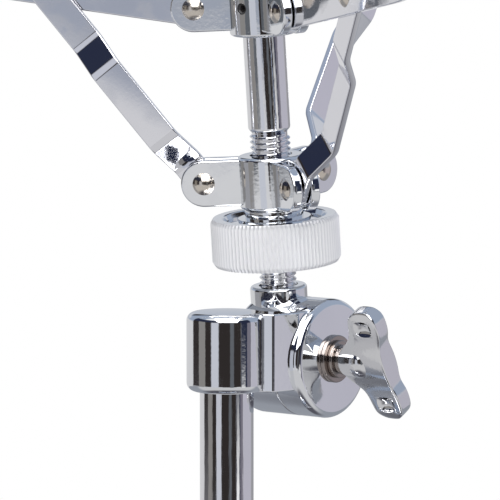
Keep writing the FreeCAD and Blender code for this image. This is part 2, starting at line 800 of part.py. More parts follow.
# Basket
def make_basket_rod():
    stub_place = spot(z=size.stub_foot, inside=ROD)
    stub = cylinder(size.stub_diameter / 2, size.thread_foot - size.stub_foot, stub_place)
    thread = cylinder(size.thread_diameter / 2, size.thread_top - size.thread_foot,
                      spot(z=size.thread_foot, inside=ROD))
    plain_place = spot(z=size.thread_top, inside=ROD)
    plain = cylinder(size.rod_diameter / 2, size.rod_top - size.thread_top, plain_place)
    top = rounded(plain, size.boss_round, is_circle_at(ROD, UP, size.rod_top, size.rod_diameter / 2))
    named(fuse([stub, thread, top]), "basket_rod")


def knurl_ring(radius, height):
    """A closed line of knurl crests and roots at a height."""
    count = int(size.knurl_count.value)
    points = []
    for index in range(2 * count):
        reach = radius - size.nut_knurl_depth.value * (index % 2)
        angle = math.pi * index / count
        points.append(FreeCAD.Vector(reach * math.cos(angle), reach * math.sin(angle), height))
    return Part.makePolygon(points + points[:1])


def make_knurled_nut():
    radius = size.nut_diameter.value / 2
    height = size.nut_height.value
    bevel = size.nut_round.value
    shoulder = radius - bevel / 2
    rings = [
        knurl_ring(shoulder, 0),
        knurl_ring(radius, bevel),
        knurl_ring(radius, height - bevel),
        knurl_ring(shoulder, height),
    ]
    knurled = shaped(Part.makeLoft(rings, True, True), spot(z=size.nut_foot, inside=ROD))
    nut_top = size.nut_foot + size.nut_height
    recess = cylinder(size.nut_diameter / 2 - size.nut_rim, size.nut_recess + size.overrun,
                      spot(z=nut_top - size.nut_recess, inside=ROD))
    neck_height = size.lower_hub_foot - size.side_gap - nut_top + size.nut_recess
    neck = cylinder(size.nut_neck_diameter / 2, neck_height, spot(z=nut_top - size.nut_recess, inside=ROD))
    bore = cylinder(size.thread_diameter / 2 + size.running_gap, size.nut_height * 3,
                    spot(z=size.nut_foot - size.nut_height, inside=ROD))
    named(cut(fuse([cut(knurled, [recess]), neck]), [bore]), "knurled_nut")


def hub_parts(foot, pivot, top):
    """A cast hub on the rod with three pairs of ears, its holes, and the rivets through the ears."""
    barrel = cylinder(size.hub_diameter / 2, top - foot, spot(z=foot, inside=ROD))
    soft = rounded(barrel, size.boss_round, is_circle)
    body = [soft]
    rivets = []
    bore = size.rod_diameter / 2 + size.running_gap
    holes = [cylinder(bore, (top - foot) * 3, spot(z=foot - (top - foot), inside=ROD))]
    ear_offset = (size.hub_ear_gap + size.hub_ear_thickness) / 2
    for azimuth in SPOKES:
        place = spot(z=pivot, inside=spoke(azimuth, ROD))
        for offset in (-ear_offset, ear_offset):
            root = size.rod_diameter / 2 + size.overrun
            body += lug(root, size.hub_pivot_radius, size.hub_ear_end, size.hub_ear_thickness, place, offset)
        across = spot(x=size.hub_pivot_radius, axis=NORTH, inside=place)
        grip = size.hub_ear_gap + size.hub_ear_thickness * 2
        holes.append(centred_cylinder(size.rivet_diameter / 2 + size.running_gap, grip * 2, across))
        rivets.append(rivet(size.rivet_diameter, size.rivet_head, grip, across))
    return fuse(body), holes, rivets


def make_lower_hub():
    body, holes, rivets = hub_parts(size.lower_hub_foot, size.lower_hub_pivot, size.lower_hub_top)
    named(cut(body, holes), "lower_hub")
    grouped(rivets, "lower_hub_rivets")


def make_upper_hub():
    body, holes, rivets = hub_parts(size.upper_hub_foot, size.upper_hub_pivot, size.upper_hub_top)
    screw_frame = spoke(SET_SCREW_AZIMUTH, spot(z=size.upper_hub_pivot, inside=ROD))
    screw_place = spot(x=size.rod_diameter / 2 + size.running_gap, axis=EAST, inside=screw_frame)
    screw_length = size.hub_diameter / 2 - size.rod_diameter / 2 - size.side_gap
    holes.append(cylinder(size.set_screw_diameter / 2 + size.running_gap, size.hub_diameter, screw_place))
    named(cut(body, holes), "upper_hub")
    grouped(rivets, "upper_hub_rivets")
    named(cylinder(size.set_screw_diameter / 2, screw_length, screw_place), "hub_set_screw")


def arm_frame(azimuth):
    """Arm frame at its pivot: X runs out along the straight part, Z points up."""
    pivot = spot(x=size.hub_pivot_radius, z=size.upper_hub_pivot, inside=spoke(azimuth, ROD))
    return turned(NORTH, -size.arm_rest_angle.value, pivot)


def arm_end_frame(frame):
    """The frame at the end of the arm's bend, with X along the upright tip."""
    turn = math.radians(size.arm_bend_turn.value)
    radius = size.arm_bend_radius.value
    x = size.arm_straight.value + radius * math.sin(turn)
    z = radius * (1 - math.cos(turn))
    return turned(NORTH, -size.arm_bend_turn.value, spot(x=x, z=z, inside=frame))


def arm_shape():
    """A flat bar on edge: straight from a round pivot end, then bent up to a round tip."""
    half = size.arm_depth.value / 2
    straight = size.arm_straight.value
    radius = size.arm_bend_radius.value
    turn = math.radians(size.arm_bend_turn.value)
    tip_frame = arm_end_frame(HERE)
    tip = size.arm_tip_length.value
    side = -size.arm_thickness.value / 2

    def on_bend(reach, angle):
        return FreeCAD.Vector(straight + reach * math.sin(angle), side, radius - reach * math.cos(angle))

    def on_tip(along, height):
        return tip_frame.multVec(FreeCAD.Vector(along, side, height))

    low_start = FreeCAD.Vector(0, side, -half)
    high_start = FreeCAD.Vector(0, side, half)
    low_bend = FreeCAD.Vector(straight, side, -half)
    high_bend = FreeCAD.Vector(straight, side, half)
    low = radius + half
    high = radius - half
    edges = [
        Part.LineSegment(low_start, low_bend),
        Part.Arc(low_bend, on_bend(low, turn / 2), on_bend(low, turn)),
        Part.LineSegment(on_bend(low, turn), on_tip(tip, -half)),
        Part.Arc(on_tip(tip, -half), on_tip(tip + half, 0), on_tip(tip, half)),
        Part.LineSegment(on_tip(tip, half), on_bend(high, turn)),
        Part.Arc(on_bend(high, turn), on_bend(high, turn / 2), high_bend),
        Part.LineSegment(high_bend, high_start),
        Part.Arc(high_start, FreeCAD.Vector(-half, side, 0), low_start),
    ]
    wire = Part.Wire([edge.toShape() for edge in edges])
    return Part.Face(wire).extrude(NORTH * size.arm_thickness.value)


def make_arm(index, azimuth):
    frame = arm_frame(azimuth)
    bar = shaped(arm_shape(), frame)
    pivot_hole = centred_cylinder(size.rivet_diameter / 2 + size.running_gap, size.rivet_head,
                                  spot(axis=NORTH, inside=frame))
    joint = spot(x=size.strut_joint_place, axis=NORTH, inside=frame)
    joint_hole = centred_cylinder(size.rivet_diameter / 2 + size.running_gap, size.rivet_head, joint)
    named(cut(bar, [pivot_hole, joint_hole]), f"arm_{index}")
    near = -size.arm_thickness / 2
    far = strut_side() + size.strut_thickness / 2 + size.side_gap
    middle = spot(x=size.strut_joint_place, y=(near + far) / 2, axis=NORTH, inside=frame)
    named(rivet(size.rivet_diameter, size.rivet_head, far - near, middle), f"strut_rivet_{index}")


def make_grip(index, azimuth):
    frame = arm_end_frame(arm_frame(azimuth))
    depth = size.arm_depth + size.grip_wall * 2
    thickness = size.arm_thickness + size.grip_wall * 2
    end = size.arm_tip_length + size.arm_depth / 2 + size.grip_wall
    start = spot(x=end - size.grip_length, inside=frame)
    block = slab(size.grip_length, thickness, depth, start)
    soft = rounded(block, size.grip_round, any_edge)
    room = size.running_gap * 2
    straight = slab(size.arm_tip_length + size.grip_length, size.arm_thickness + room, size.arm_depth + room,
                    spot(x=-size.grip_length, inside=frame))
    cap = centred_cylinder(size.arm_depth / 2 + size.running_gap, size.arm_thickness + room,
                           spot(x=size.arm_tip_length, axis=NORTH, inside=frame))
    named(cut(soft, [straight, cap]), f"grip_{index}")


def strut_side():
    """Sideways place of the strut's top end: beside the arm."""
    return (size.arm_thickness + size.strut_thickness) / 2 + size.side_gap


def strut_frame(azimuth):
    """Strut frame at the lower hub's pivot, with X pointing at its joint on the arm, and the length."""
    angle = math.radians(size.arm_rest_angle.value)
    out = size.strut_joint_place.value * math.cos(angle)
    hub_distance = size.upper_hub_pivot - size.lower_hub_pivot
    rise = hub_distance.value + size.strut_joint_place.value * math.sin(angle)
    pivot = spot(x=size.hub_pivot_radius, z=size.lower_hub_pivot, inside=spoke(azimuth, ROD))
    frame = turned(NORTH, -math.degrees(math.atan2(rise, out)), pivot)
    return frame, math.hypot(out, rise)


def strip_face(centres, thickness):
    """A strip of even thickness along centre points in the XY plane, with mitred bends."""
    sides = ([], [])
    last = len(centres) - 1
    for index, point in enumerate(centres):
        before = (point - centres[index - 1]).normalize() if index else None
        after = (centres[index + 1] - point).normalize() if index < last else None
        along = before + after if before and after else before or after
        along.normalize()
        across = UP.cross(along)
        reach = thickness / 2 / (across.dot(UP.cross(after or before)))
        sides[0].append(point + across * reach)
        sides[1].append(point - across * reach)
    outline = sides[0] + sides[1][::-1]
    return Part.Face(Part.makePolygon(outline + outline[:1]))


def strut_shape(length):
    """A bowed strip: from the hub's ears it swings out, runs straight and joggles back beside the arm."""
    half = size.strut_width.value / 2
    bow = size.strut_bow.value
    side = strut_side().value
    centres = [
        FreeCAD.Vector(-half, 0, 0),
        FreeCAD.Vector(size.strut_first_bend.value, 0, 0),
        FreeCAD.Vector(size.strut_bow_start.value, bow, 0),
        FreeCAD.Vector(size.strut_bow_end.value, bow, 0),
        FreeCAD.Vector(size.strut_joggle_end.value, side, 0),
        FreeCAD.Vector(length + half, side, 0),
    ]
    strip = strip_face(centres, size.strut_thickness.value).extrude(UP * (2 * half))
    strip.translate(UP * -half)
    bends = [edge for edge in strip.Edges if is_bend(edge, half, length)]
    strip = strip.makeFillet(size.strut_bend_round.value, bends)
    circles = [(0, 0, half), (length, 0, half)]
    tall = 4 * (bow + half)
    outline = hull_face(circles).extrude(NORTH * tall)
    outline.translate(NORTH * (-tall / 2))
    return strip.common(outline)


def is_bend(edge, half, length):
    """Edges across the strip at its four bends, not at its two ends."""
    box = edge.BoundBox
    return box.ZLength > half and box.XMin > -half / 2 and box.XMax < length + half / 2


def make_strut(index, azimuth):
    frame, length = strut_frame(azimuth)
    strip = shaped(strut_shape(length), frame)
    lower_hole = centred_cylinder(size.rivet_diameter / 2 + size.running_gap, size.strut_bow * 4,
                                  spot(axis=NORTH, inside=frame))
    joint_hole = centred_cylinder(size.rivet_diameter / 2 + size.open_pivot_gap, size.strut_bow * 4,
                                  spot(x=length, axis=NORTH, inside=frame))
    named(cut(strip, [lower_hole, joint_hole]), f"strut_{index}")


def check_document():
    doc.recompute()
    for item in doc.Objects:
        if "Invalid" in item.State or "Error" in item.State:
            raise RuntimeError(f"{item.Name} ({item.Label}) failed: {item.State}")
    for item in nodes:
        if item.Shape.isNull() or not item.Shape.isValid() or not item.Shape.Solids:
            raise RuntimeError(f"{item.Label} has no valid solid")


make_base_tube()
make_tube_plug()
make_stay_hub()
make_leg_collar()
make_collar_wing_bolt()
for leg_index, leg_azimuth in enumerate(LEG_SPOKES, start=1):
    make_leg(leg_index, leg_azimuth)
    make_foot(leg_index, leg_azimuth)
    make_stay(leg_index, leg_azimuth)
make_height_clamp()
make_clamp_fittings()
make_clamp_bushing()
make_memory_lock()
make_upper_tube()
make_tilter_socket()
make_socket_pin()
make_tilter_head()
make_tilter_nut()
make_wing_screw()
make_basket_rod()
make_knurled_nut()
make_lower_hub()
make_upper_hub()
for arm_index, arm_azimuth in enumerate(SPOKES, start=1):
    make_arm(arm_index, arm_azimuth)
    make_grip(arm_index, arm_azimuth)
    make_strut(arm_index, arm_azimuth)

check_document()
os.makedirs("parts", exist_ok=True)
for node in nodes:
    node.Shape.exportStep(f"parts/{node.Label}.step")
    print(f"{node.Label}: {len(node.Shape.Solids)} solid(s), {node.Shape.Volume:.0f} mm3")
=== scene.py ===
# %% [markdown]
# # A chromed snare drum stand
# The stand is a folding tripod with a telescoping tube. On the tube sits an offset tilter, and on the
# tilter a basket of three arms that a knurled nut opens and closes. Nearly all of it is chrome, so the
# lesson has two halves: a studio worth reflecting, and smooth surfaces with soft edges.
#
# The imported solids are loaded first. They stay where they are, and every modelled piece is seated on
# places read from them: the boxes of the solids and the axes of the joints.

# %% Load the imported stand
import json
import math

import bmesh
import bpy
from mathutils import Matrix, Vector


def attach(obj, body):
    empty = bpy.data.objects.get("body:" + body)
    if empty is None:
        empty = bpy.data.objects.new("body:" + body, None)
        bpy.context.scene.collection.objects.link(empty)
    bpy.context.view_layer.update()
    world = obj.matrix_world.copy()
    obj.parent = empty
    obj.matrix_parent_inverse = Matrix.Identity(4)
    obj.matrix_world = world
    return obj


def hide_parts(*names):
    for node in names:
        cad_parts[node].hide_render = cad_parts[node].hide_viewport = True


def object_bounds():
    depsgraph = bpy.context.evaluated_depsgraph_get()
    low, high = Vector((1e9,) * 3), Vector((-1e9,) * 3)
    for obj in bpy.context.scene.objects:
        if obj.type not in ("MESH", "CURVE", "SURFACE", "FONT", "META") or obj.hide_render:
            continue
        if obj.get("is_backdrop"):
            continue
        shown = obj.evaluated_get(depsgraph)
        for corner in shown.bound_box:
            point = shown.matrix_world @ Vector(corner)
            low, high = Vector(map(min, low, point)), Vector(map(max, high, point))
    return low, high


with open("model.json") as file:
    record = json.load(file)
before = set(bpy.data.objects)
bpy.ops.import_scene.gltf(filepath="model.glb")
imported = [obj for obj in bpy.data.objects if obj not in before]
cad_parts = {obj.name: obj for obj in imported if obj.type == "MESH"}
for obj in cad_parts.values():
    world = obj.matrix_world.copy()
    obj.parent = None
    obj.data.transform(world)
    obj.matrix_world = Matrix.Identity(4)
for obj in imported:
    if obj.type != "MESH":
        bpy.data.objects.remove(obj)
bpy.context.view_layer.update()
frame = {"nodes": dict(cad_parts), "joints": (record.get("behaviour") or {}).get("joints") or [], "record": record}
MM = 0.001
nodes = frame["nodes"]
joints = {joint["name"]: joint for joint in frame["joints"]}

# %% [markdown]
# ## Camera
# The picture is a close-up of the middle of the stand, taken from a little above. A camera is easiest to
# repeat when it is written as a direction, a distance and the width of the picture where the object is,
# and the lens then follows from the last two.

# %% Camera
VIEW_AZIMUTH = math.radians(38)
VIEW_ELEVATION = math.radians(5.5)
VIEW_DISTANCE = 1.6
VIEW_WIDTH = 177.4 * MM
VIEW_CENTRE = Vector((-1.3, 15.0, 508.6)) * MM
SENSOR_WIDTH = 36.0
UP = Vector((0, 0, 1))

to_camera = Vector((math.sin(VIEW_AZIMUTH), -math.cos(VIEW_AZIMUTH), 0))
to_right = Vector((math.cos(VIEW_AZIMUTH), math.sin(VIEW_AZIMUTH), 0))
back = to_camera * math.cos(VIEW_ELEVATION) + UP * math.sin(VIEW_ELEVATION)
bpy.ops.object.camera_add(location=VIEW_CENTRE + back * VIEW_DISTANCE)
camera = bpy.context.object
camera.rotation_euler = (-back).to_track_quat("-Z", "Y").to_euler()
camera.data.sensor_width = SENSOR_WIDTH
camera.data.lens = SENSOR_WIDTH * VIEW_DISTANCE / VIEW_WIDTH
bpy.context.scene.camera = camera
bpy.context.scene.view_settings.view_transform = "Standard"
print(f"camera {VIEW_DISTANCE} m away, lens {camera.data.lens:.0f} mm")

# %% [markdown]
# ## Writing shader maths as Python
# A node tree is hard to read as a list of links. Here a small class wraps a socket and overloads the
# operators, so that `haze + 0.1 * smudge` adds the Math nodes by itself. Every other node comes from one
# method, which takes the node's type, its settings and what goes into its sockets. The methods after it
# are short ways to what is needed most: vector maths, a mix of colours, a smooth step and a band.

# %% Signals
class Signal:
    """A node's output that can be used in arithmetic."""

    def __init__(self, owner, socket):
        self.owner = owner
        self.socket = socket

    def math(self, operation, first, second):
        return self.owner.add("ShaderNodeMath", {"operation": operation}, {0: first, 1: second})

    def __add__(self, other):
        return self.math("ADD", self, other)

    def __radd__(self, other):
        return self.math("ADD", other, self)

    def __sub__(self, other):
        return self.math("SUBTRACT", self, other)

    def __rsub__(self, other):
        return self.math("SUBTRACT", other, self)

    def __mul__(self, other):
        return self.math("MULTIPLY", self, other)

    def __rmul__(self, other):
        return self.math("MULTIPLY", other, self)


print("signals can be added, subtracted and multiplied")

# %% Node trees
class Nodes:
    """A node tree being written."""

    def __init__(self, tree):
        self.tree = tree
        tree.nodes.clear()

    def add(self, kind, settings=None, inputs=None, output=0):
        """Add a node, set it up, fill or link its sockets, and give one of its outputs."""
        node = self.tree.nodes.new(kind)
        for name, value in (settings or {}).items():
            setattr(node, name, value)
        for name, value in (inputs or {}).items():
            if isinstance(value, Signal):
                self.tree.links.new(value.socket, node.inputs[name])
            else:
                node.inputs[name].default_value = value
        return Signal(self, node.outputs[output]) if node.outputs else None

    def vector(self, operation, *vectors):
        """Vector maths. A length or a dot product is a number, which is the node's second output."""
        output = 1 if operation in ("LENGTH", "DOT_PRODUCT") else 0
        return self.add("ShaderNodeVectorMath", {"operation": operation}, dict(enumerate(vectors)), output)

    def mix(self, share, first, second):
        """A colour between two, each a signal or its red, green and blue."""
        sockets = {0: share}
        for socket, colour in ((6, first), (7, second)):
            sockets[socket] = colour if isinstance(colour, Signal) else colour + (1,)
        return self.add("ShaderNodeMix", {"data_type": "RGBA"}, sockets, output=2)

    def smooth_step(self, value, low, high):
        """0 below low, 1 above high, and smooth between them."""
        settings = {"interpolation_type": "SMOOTHSTEP"}
        return self.add("ShaderNodeMapRange", settings, {0: value, 1: low, 2: high})

    def band(self, value, low, high, soft):
        """1 where a value lies between low and high, falling off over soft on both sides."""
        fall = self.smooth_step(value, high - soft, high + soft)
        return self.smooth_step(value, low - soft, low + soft) * (1 - fall)


def new_material(name):
    """A material and its empty node tree."""
    material = bpy.data.materials.new(name)
    material.use_nodes = True
    return material, Nodes(material.node_tree)


print("node trees can be written")

# %% [markdown]
# ## Studio
# Chrome has hardly any colour of its own: it shows what stands around it. The picture's tubes carry the
# room as upright stripes, pale at both edges where they mirror the white surroundings, and dark in the
# middle, where they mirror the unlit side of the room behind the camera, with one softbox left of it.
# Real flags and softboxes would stand in the way of other views, so the room is painted on the world
# instead, by azimuth and elevation round the stand. Azimuth is 0 towards the camera and grows to the
# right of the picture.

# %% Directions in the room
world = bpy.data.worlds.new("studio")
world.use_nodes = True
bpy.context.scene.world = world
room = Nodes(world.node_tree)
direction = room.add("ShaderNodeTexCoord")
forward, aside, height = (room.vector("DOT_PRODUCT", direction, axis) for axis in (to_camera, to_right, UP))
azimuth = room.add("ShaderNodeMath", {"operation": "ARCTAN2"}, {0: aside, 1: forward}) * math.degrees(1)
elevation = room.add("ShaderNodeMath", {"operation": "ARCSINE"}, {0: height}) * math.degrees(1)
print("azimuth and elevation are in degrees")

# %% [markdown]
# The room is pale below and turns into a grey-blue ceiling. Panels are then painted on it one after the
# other, as a painter works from the back to the front. Only what the chrome mirrors is painted: the
# camera itself sees plain white.

# %% Panels of the room
WHITE = (1.0, 1.0, 1.0)
PALE = (0.70, 0.70, 0.71)
CEILING = (0.36, 0.42, 0.53)
SIDE_SOFTBOX = (0.60, 0.62, 0.68)
UNLIT = (0.032, 0.027, 0.026)
NAVY = (0.024, 0.030, 0.058)
WARM_GREY = (0.27, 0.26, 0.25)
COOL_GREY = (0.13, 0.14, 0.155)
LAVENDER = (0.52, 0.51, 0.58)
DUSK = (0.20, 0.19, 0.23)
RIM_GREY = (0.34, 0.34, 0.36)
COLD_GREY = (0.37, 0.40, 0.47)
BACK_WALL = (0.62, 0.64, 0.68)
# Elevations between which the pale walls turn into the ceiling
CEILING_RISE = (1, 11)
# Colour, azimuths and elevations from edge to edge, and how soft the edges are, all in degrees
PANELS = (
    # right of the stand, and behind it on the right
    (LAVENDER, (74, 128), (-60, 6), 4),
    (RIM_GREY, (128, 165), (-60, 6), 6),
    # the unlit room round the camera, bluer on the right and higher up
    (UNLIT, (-112, 42), (-10.3, 38), 1.5),
    (NAVY, (42, 72), (-19, 38), 1.5),
    (NAVY, (-112, 74), (15, 38), 4),
    (DUSK, (61, 74), (-19, 6), 1.5),
    # low strips in front of the stand, and greys left of it
    (COLD_GREY, (-24, 4), (-12.65, -10.6), 0.6),
    (UNLIT, (-11.5, 29), (-13.7, -9), 0.6),
    (RIM_GREY, (-116, -70), (-19, -9), 2),
    (WARM_GREY, (-87, -64), (-13.7, 14), 0.8),
    (COOL_GREY, (-64, -46), (-13.7, -9), 0.8),
    # the softbox left of the camera, a grey upright right of it, a low lamp and the light overhead
    (SIDE_SOFTBOX, (-45, -23), (-30, 13), 2),
    (COOL_GREY, (10, 21), (-19, 12), 1.5),
    (WHITE, (44, 56), (-17, -7.7), 1.2),
    (WHITE, (-80, 60), (42, 72), 2),
    # behind the stand, on both sides of the seam at 180 degrees
    (BACK_WALL, (-200, -140), (10, 21), 4),
    (BACK_WALL, (140, 200), (10, 21), 4),
    (UNLIT, (-200, -150), (24, 40), 4),
    (UNLIT, (150, 200), (24, 40), 4),
)

painted = room.mix(room.smooth_step(elevation, *CEILING_RISE), PALE, CEILING)
for colour, azimuths, elevations, soft in PANELS:
    share = room.band(azimuth, *azimuths, soft) * room.band(elevation, *elevations, soft)
    painted = room.mix(share, painted, colour)
seen_directly = room.add("ShaderNodeLightPath", output="Is Camera Ray")
backdrop = room.add("ShaderNodeBackground", inputs={"Color": room.mix(seen_directly, painted, WHITE)})
room.add("ShaderNodeOutputWorld", inputs={"Surface": backdrop})
print(f"studio of {len(PANELS)} panels painted on the world")

# %% [markdown]
# The floor is a pale disc that takes the stand's shadow. It fades to the white of the backdrop away from
# the stand, so that it has no visible rim. Chrome does not mirror the lit floor. For mirror rays the floor
# glows with a painted reflection: pale in front of the stand, painted shade behind it, and the darkest
# painted shade beneath it, which draws the lower edges of the strips.

# %% Floor
FLOOR_RADIUS, FLOOR_SIDES, FLOOR_DROP = 1.5, 96, 0.5 * MM
FLOOR_PALE = (0.90, 0.88, 0.84)
# Colours of the painted reflection: pale in front, painted shade behind the stand, darkest painted shade beneath
# it
FLOOR_IN_FRONT = (0.62, 0.62, 0.63)
FLOOR_SHADE_BEHIND = (0.32, 0.34, 0.38)
FLOOR_SHADE_BENEATH = (0.10, 0.10, 0.12)
# Start and end of each change, in metres from the middle, the second one along the way to the camera
FADE_TO_WHITE = (0.4, 1.3)
SHADE_BEHIND_TO_FRONT = (-0.2, 0.1)
OUT_OF_SHADE_BENEATH = (0.2, 0.45)

bpy.ops.object.select_all(action="DESELECT")
bpy.ops.mesh.primitive_circle_add(vertices=FLOOR_SIDES, radius=FLOOR_RADIUS, fill_type="TRIFAN",
                                  location=(0, 0, -FLOOR_DROP))
floor = bpy.context.object
floor.name = "floor"
floor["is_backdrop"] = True
floor_material, paint = new_material("pale_floor")
ground = paint.add("ShaderNodeTexCoord", output="Object")
far = paint.vector("LENGTH", ground)
near_camera = paint.vector("DOT_PRODUCT", ground, to_camera)
camera_ray = paint.add("ShaderNodeLightPath", output="Is Camera Ray")
glossy_ray = paint.add("ShaderNodeLightPath", output="Is Glossy Ray")
# Mirror rays see painted shade behind and beneath the stand, in place of the lit floor
painted_reflection = paint.mix(paint.smooth_step(near_camera, *SHADE_BEHIND_TO_FRONT), FLOOR_SHADE_BEHIND, FLOOR_IN_FRONT)
painted_reflection = paint.mix(paint.smooth_step(far, *OUT_OF_SHADE_BENEATH), FLOOR_SHADE_BENEATH, painted_reflection)
matt = paint.add("ShaderNodeBsdfDiffuse", inputs={"Color": FLOOR_PALE + (1,)})
shine = paint.mix(camera_ray, painted_reflection, WHITE)
glow = paint.add("ShaderNodeEmission", inputs={"Color": shine, "Strength": 1.0})
share = paint.smooth_step(far, *FADE_TO_WHITE) * camera_ray + glossy_ray
surface = paint.add("ShaderNodeMixShader", inputs={0: share, 1: matt, 2: glow})
paint.add("ShaderNodeOutputMaterial", inputs={"Surface": surface})
floor.data.materials.append(floor_material)
print(f"floor {2 * FLOOR_RADIUS} m across")

# %% [markdown]
# One large lamp above and in front gives the dark pieces and the floor a soft light. Its strength is
# plain, so that a colour renders about as it is written.

# %% Lamp
LAMP_PLACE = Vector((0.74, -0.84, 1.7))
LAMP_SIZE = 1.8
LAMP_POWER = 37.0

bpy.ops.object.light_add(type="AREA", location=LAMP_PLACE)
lamp = bpy.context.object
lamp.data.size = LAMP_SIZE
lamp.data.energy = LAMP_POWER
lamp.rotation_euler = (LAMP_PLACE - VIEW_CENTRE).to_track_quat("Z", "Y").to_euler()
print(f"lamp of {LAMP_POWER} W, {LAMP_SIZE} m wide")

# %% [markdown]
# ## Finishes
# Plated metal is Metallic 1, and only its roughness, tint and fine relief tell tubes, castings, strip
# and rivets apart. Polished plate is never perfect: it has a slight orange peel, a few smudges that blur
# the mirror image, and on drawn tube faint lines along the tube. These come from noise on Object
# coordinates, in metres, so that the pattern has one scale on every piece.

# %% Plated metal
CLOUD_SCALE, CLOUD_DETAIL = 35, 3.0
SMUDGE_SCALE, SMUDGE_DETAIL = 90, 4.0
# A smudge sets in between these two values of its noise
SMUDGE_EDGE = (0.44, 0.60)
PEEL_DEPTH = 0.1 * MM
TUBE_LINES = (1, 1, 0.04)


def fine_noise(finish, scale, stretch=(1, 1, 1), detail=2.0):
    """Noise with about scale grains per metre, drawn out along an axis by a small stretch there."""
    place = finish.add("ShaderNodeTexCoord", output="Object")
    drawn = finish.add("ShaderNodeMapping", inputs={"Vector": place, "Scale": stretch})
    return finish.add("ShaderNodeTexNoise", inputs={"Vector": drawn, "Scale": scale, "Detail": detail})


def close_finish(finish, colour, metallic, roughness, grains, relief, depth):
    """End a finish in one Principled shader, with grains standing out as a fine relief."""
    bump = finish.add("ShaderNodeBump", inputs={"Height": grains, "Strength": relief, "Distance": depth})
    shader = finish.add("ShaderNodeBsdfPrincipled", inputs={
        "Base Color": colour, "Metallic": metallic, "Roughness": roughness, "Normal": bump})
    finish.add("ShaderNodeOutputMaterial", inputs={"Surface": shader})


def plated(name, tint, clouded, haze, smudge, grain, relief, stretch=(1, 1, 1)):
    """Plated metal: a tint that clouds slightly, a haze with smudges, and a fine relief."""
    material, finish = new_material(name)
    clouds = fine_noise(finish, CLOUD_SCALE, detail=CLOUD_DETAIL)
    smudges = finish.smooth_step(fine_noise(finish, SMUDGE_SCALE, stretch, SMUDGE_DETAIL), *SMUDGE_EDGE)
    peel = fine_noise(finish, grain, stretch)
    colour = finish.mix(clouds, tint, clouded)
    close_finish(finish, colour, 1.0, haze + smudge * smudges, peel, relief, PEEL_DEPTH)
    return material


finishes = {
    "chrome_tube": plated("drawn_tube_chrome", (0.88, 0.88, 0.90), (0.80, 0.80, 0.82),
                          haze=0.035, smudge=0.05, grain=2600, relief=0.16, stretch=TUBE_LINES),
    "chrome_cast": plated("cast_chrome", (0.88, 0.89, 0.91), (0.80, 0.81, 0.83),
                          haze=0.03, smudge=0.05, grain=700, relief=0.10),
    "chrome_wing": plated("dull_cast_chrome", (0.86, 0.86, 0.87), (0.72, 0.72, 0.73),
                          haze=0.05, smudge=0.06, grain=900, relief=0.15),
    "chrome_strip": plated("strip_chrome", (0.88, 0.88, 0.91), (0.81, 0.81, 0.85),
                           haze=0.04, smudge=0.06, grain=800, relief=0.015),
    "nickel": plated("warm_nickel", (0.80, 0.74, 0.66), (0.66, 0.59, 0.52),
                     haze=0.14, smudge=0.08, grain=1200, relief=0.12),
}
print(f"{len(finishes)} plated finishes")

# %% [markdown]
# Rubber, nylon and blackened steel are dark and scatter light. Rubber feet and grips get a mottled
# bloom, which is the grey film that old rubber shows, and a pebbled relief.

# %% Dark finishes
BLOOM_SCALE, BLOOM_DETAIL = 70, 5.0
# The bloom sets in between these two values of its noise
BLOOM_EDGE = (0.32, 0.68)
BLOOM_ROUGHNESS = 0.12
PEBBLE_DETAIL, PEBBLE_DEPTH = 3.0, 0.2 * MM


def moulded(name, deep, bloom, rough, pebble, relief):
    """A dark moulded surface: pebbled, with a paler bloom in patches."""
    material, finish = new_material(name)
    patches = finish.smooth_step(fine_noise(finish, BLOOM_SCALE, detail=BLOOM_DETAIL), *BLOOM_EDGE)
    pebbles = fine_noise(finish, pebble, detail=PEBBLE_DETAIL)
    colour = finish.mix(patches, deep, bloom)
    close_finish(finish, colour, 0.0, rough + BLOOM_ROUGHNESS * patches, pebbles, relief, PEBBLE_DEPTH)
    return material


finishes["rubber"] = moulded("black_rubber", (0.016, 0.016, 0.017), (0.038, 0.038, 0.039),
                             rough=0.62, pebble=900, relief=0.35)
finishes["nylon"] = moulded("black_nylon", (0.022, 0.022, 0.024), (0.034, 0.034, 0.036),
                            rough=0.42, pebble=1500, relief=0.20)
finishes["black_steel"] = moulded("blackened_steel", (0.020, 0.019, 0.020), (0.045, 0.042, 0.042),
                                  rough=0.34, pebble=1100, relief=0.25)
print("dark finishes: rubber, nylon and blackened steel")

# %% [markdown]
# ## Modelling helpers
# Most of the visible pieces are turned parts or flat strip. Both start as a chain of points, which is
# drawn by extruding one vertex from point to point. A turned part is then spun round the Z axis. Lengths
# are written in millimetres, as on a workshop drawing, and become metres where Blender gets them.

# %% Chains of points and turned parts
TOUCH, NEAR = 1e-6, 1e-5
FACING = 0.5
FINE_STEPS, MEDIUM_STEPS, SMALL_STEPS = 96, 64, 48


def label(piece, name):
    """Name an object and its mesh."""
    piece.name = name
    piece.data.name = name


def select_whole():
    """Select all of the mesh that is being edited."""
    bpy.ops.mesh.select_all(action="SELECT")


def start_piece(name):
    """One selected vertex at the origin, in edit mode."""
    bpy.ops.object.select_all(action="DESELECT")
    bpy.ops.mesh.primitive_plane_add(size=MM)
    piece = bpy.context.object
    label(piece, name)
    bpy.ops.object.mode_set(mode="EDIT")
    bpy.ops.mesh.select_mode(type="VERT")
    select_whole()
    bpy.ops.mesh.merge(type="CENTER")
    return piece


def move(x, y, z):
    """Move what is selected, in millimetres."""
    bpy.ops.transform.translate(value=(x * MM, y * MM, z * MM))


def pull(x, y, z):
    """Extrude what is selected and move the new end, in millimetres."""
    bpy.ops.mesh.extrude_region_move(TRANSFORM_OT_translate={"value": (x * MM, y * MM, z * MM)})


def draw_chain(points):
    """Put the selected vertex at the first point and extrude it on to the others."""
    here = points[0]
    move(*here)
    for there in points[1:]:
        pull(*(end - start for start, end in zip(here, there)))
        here = there


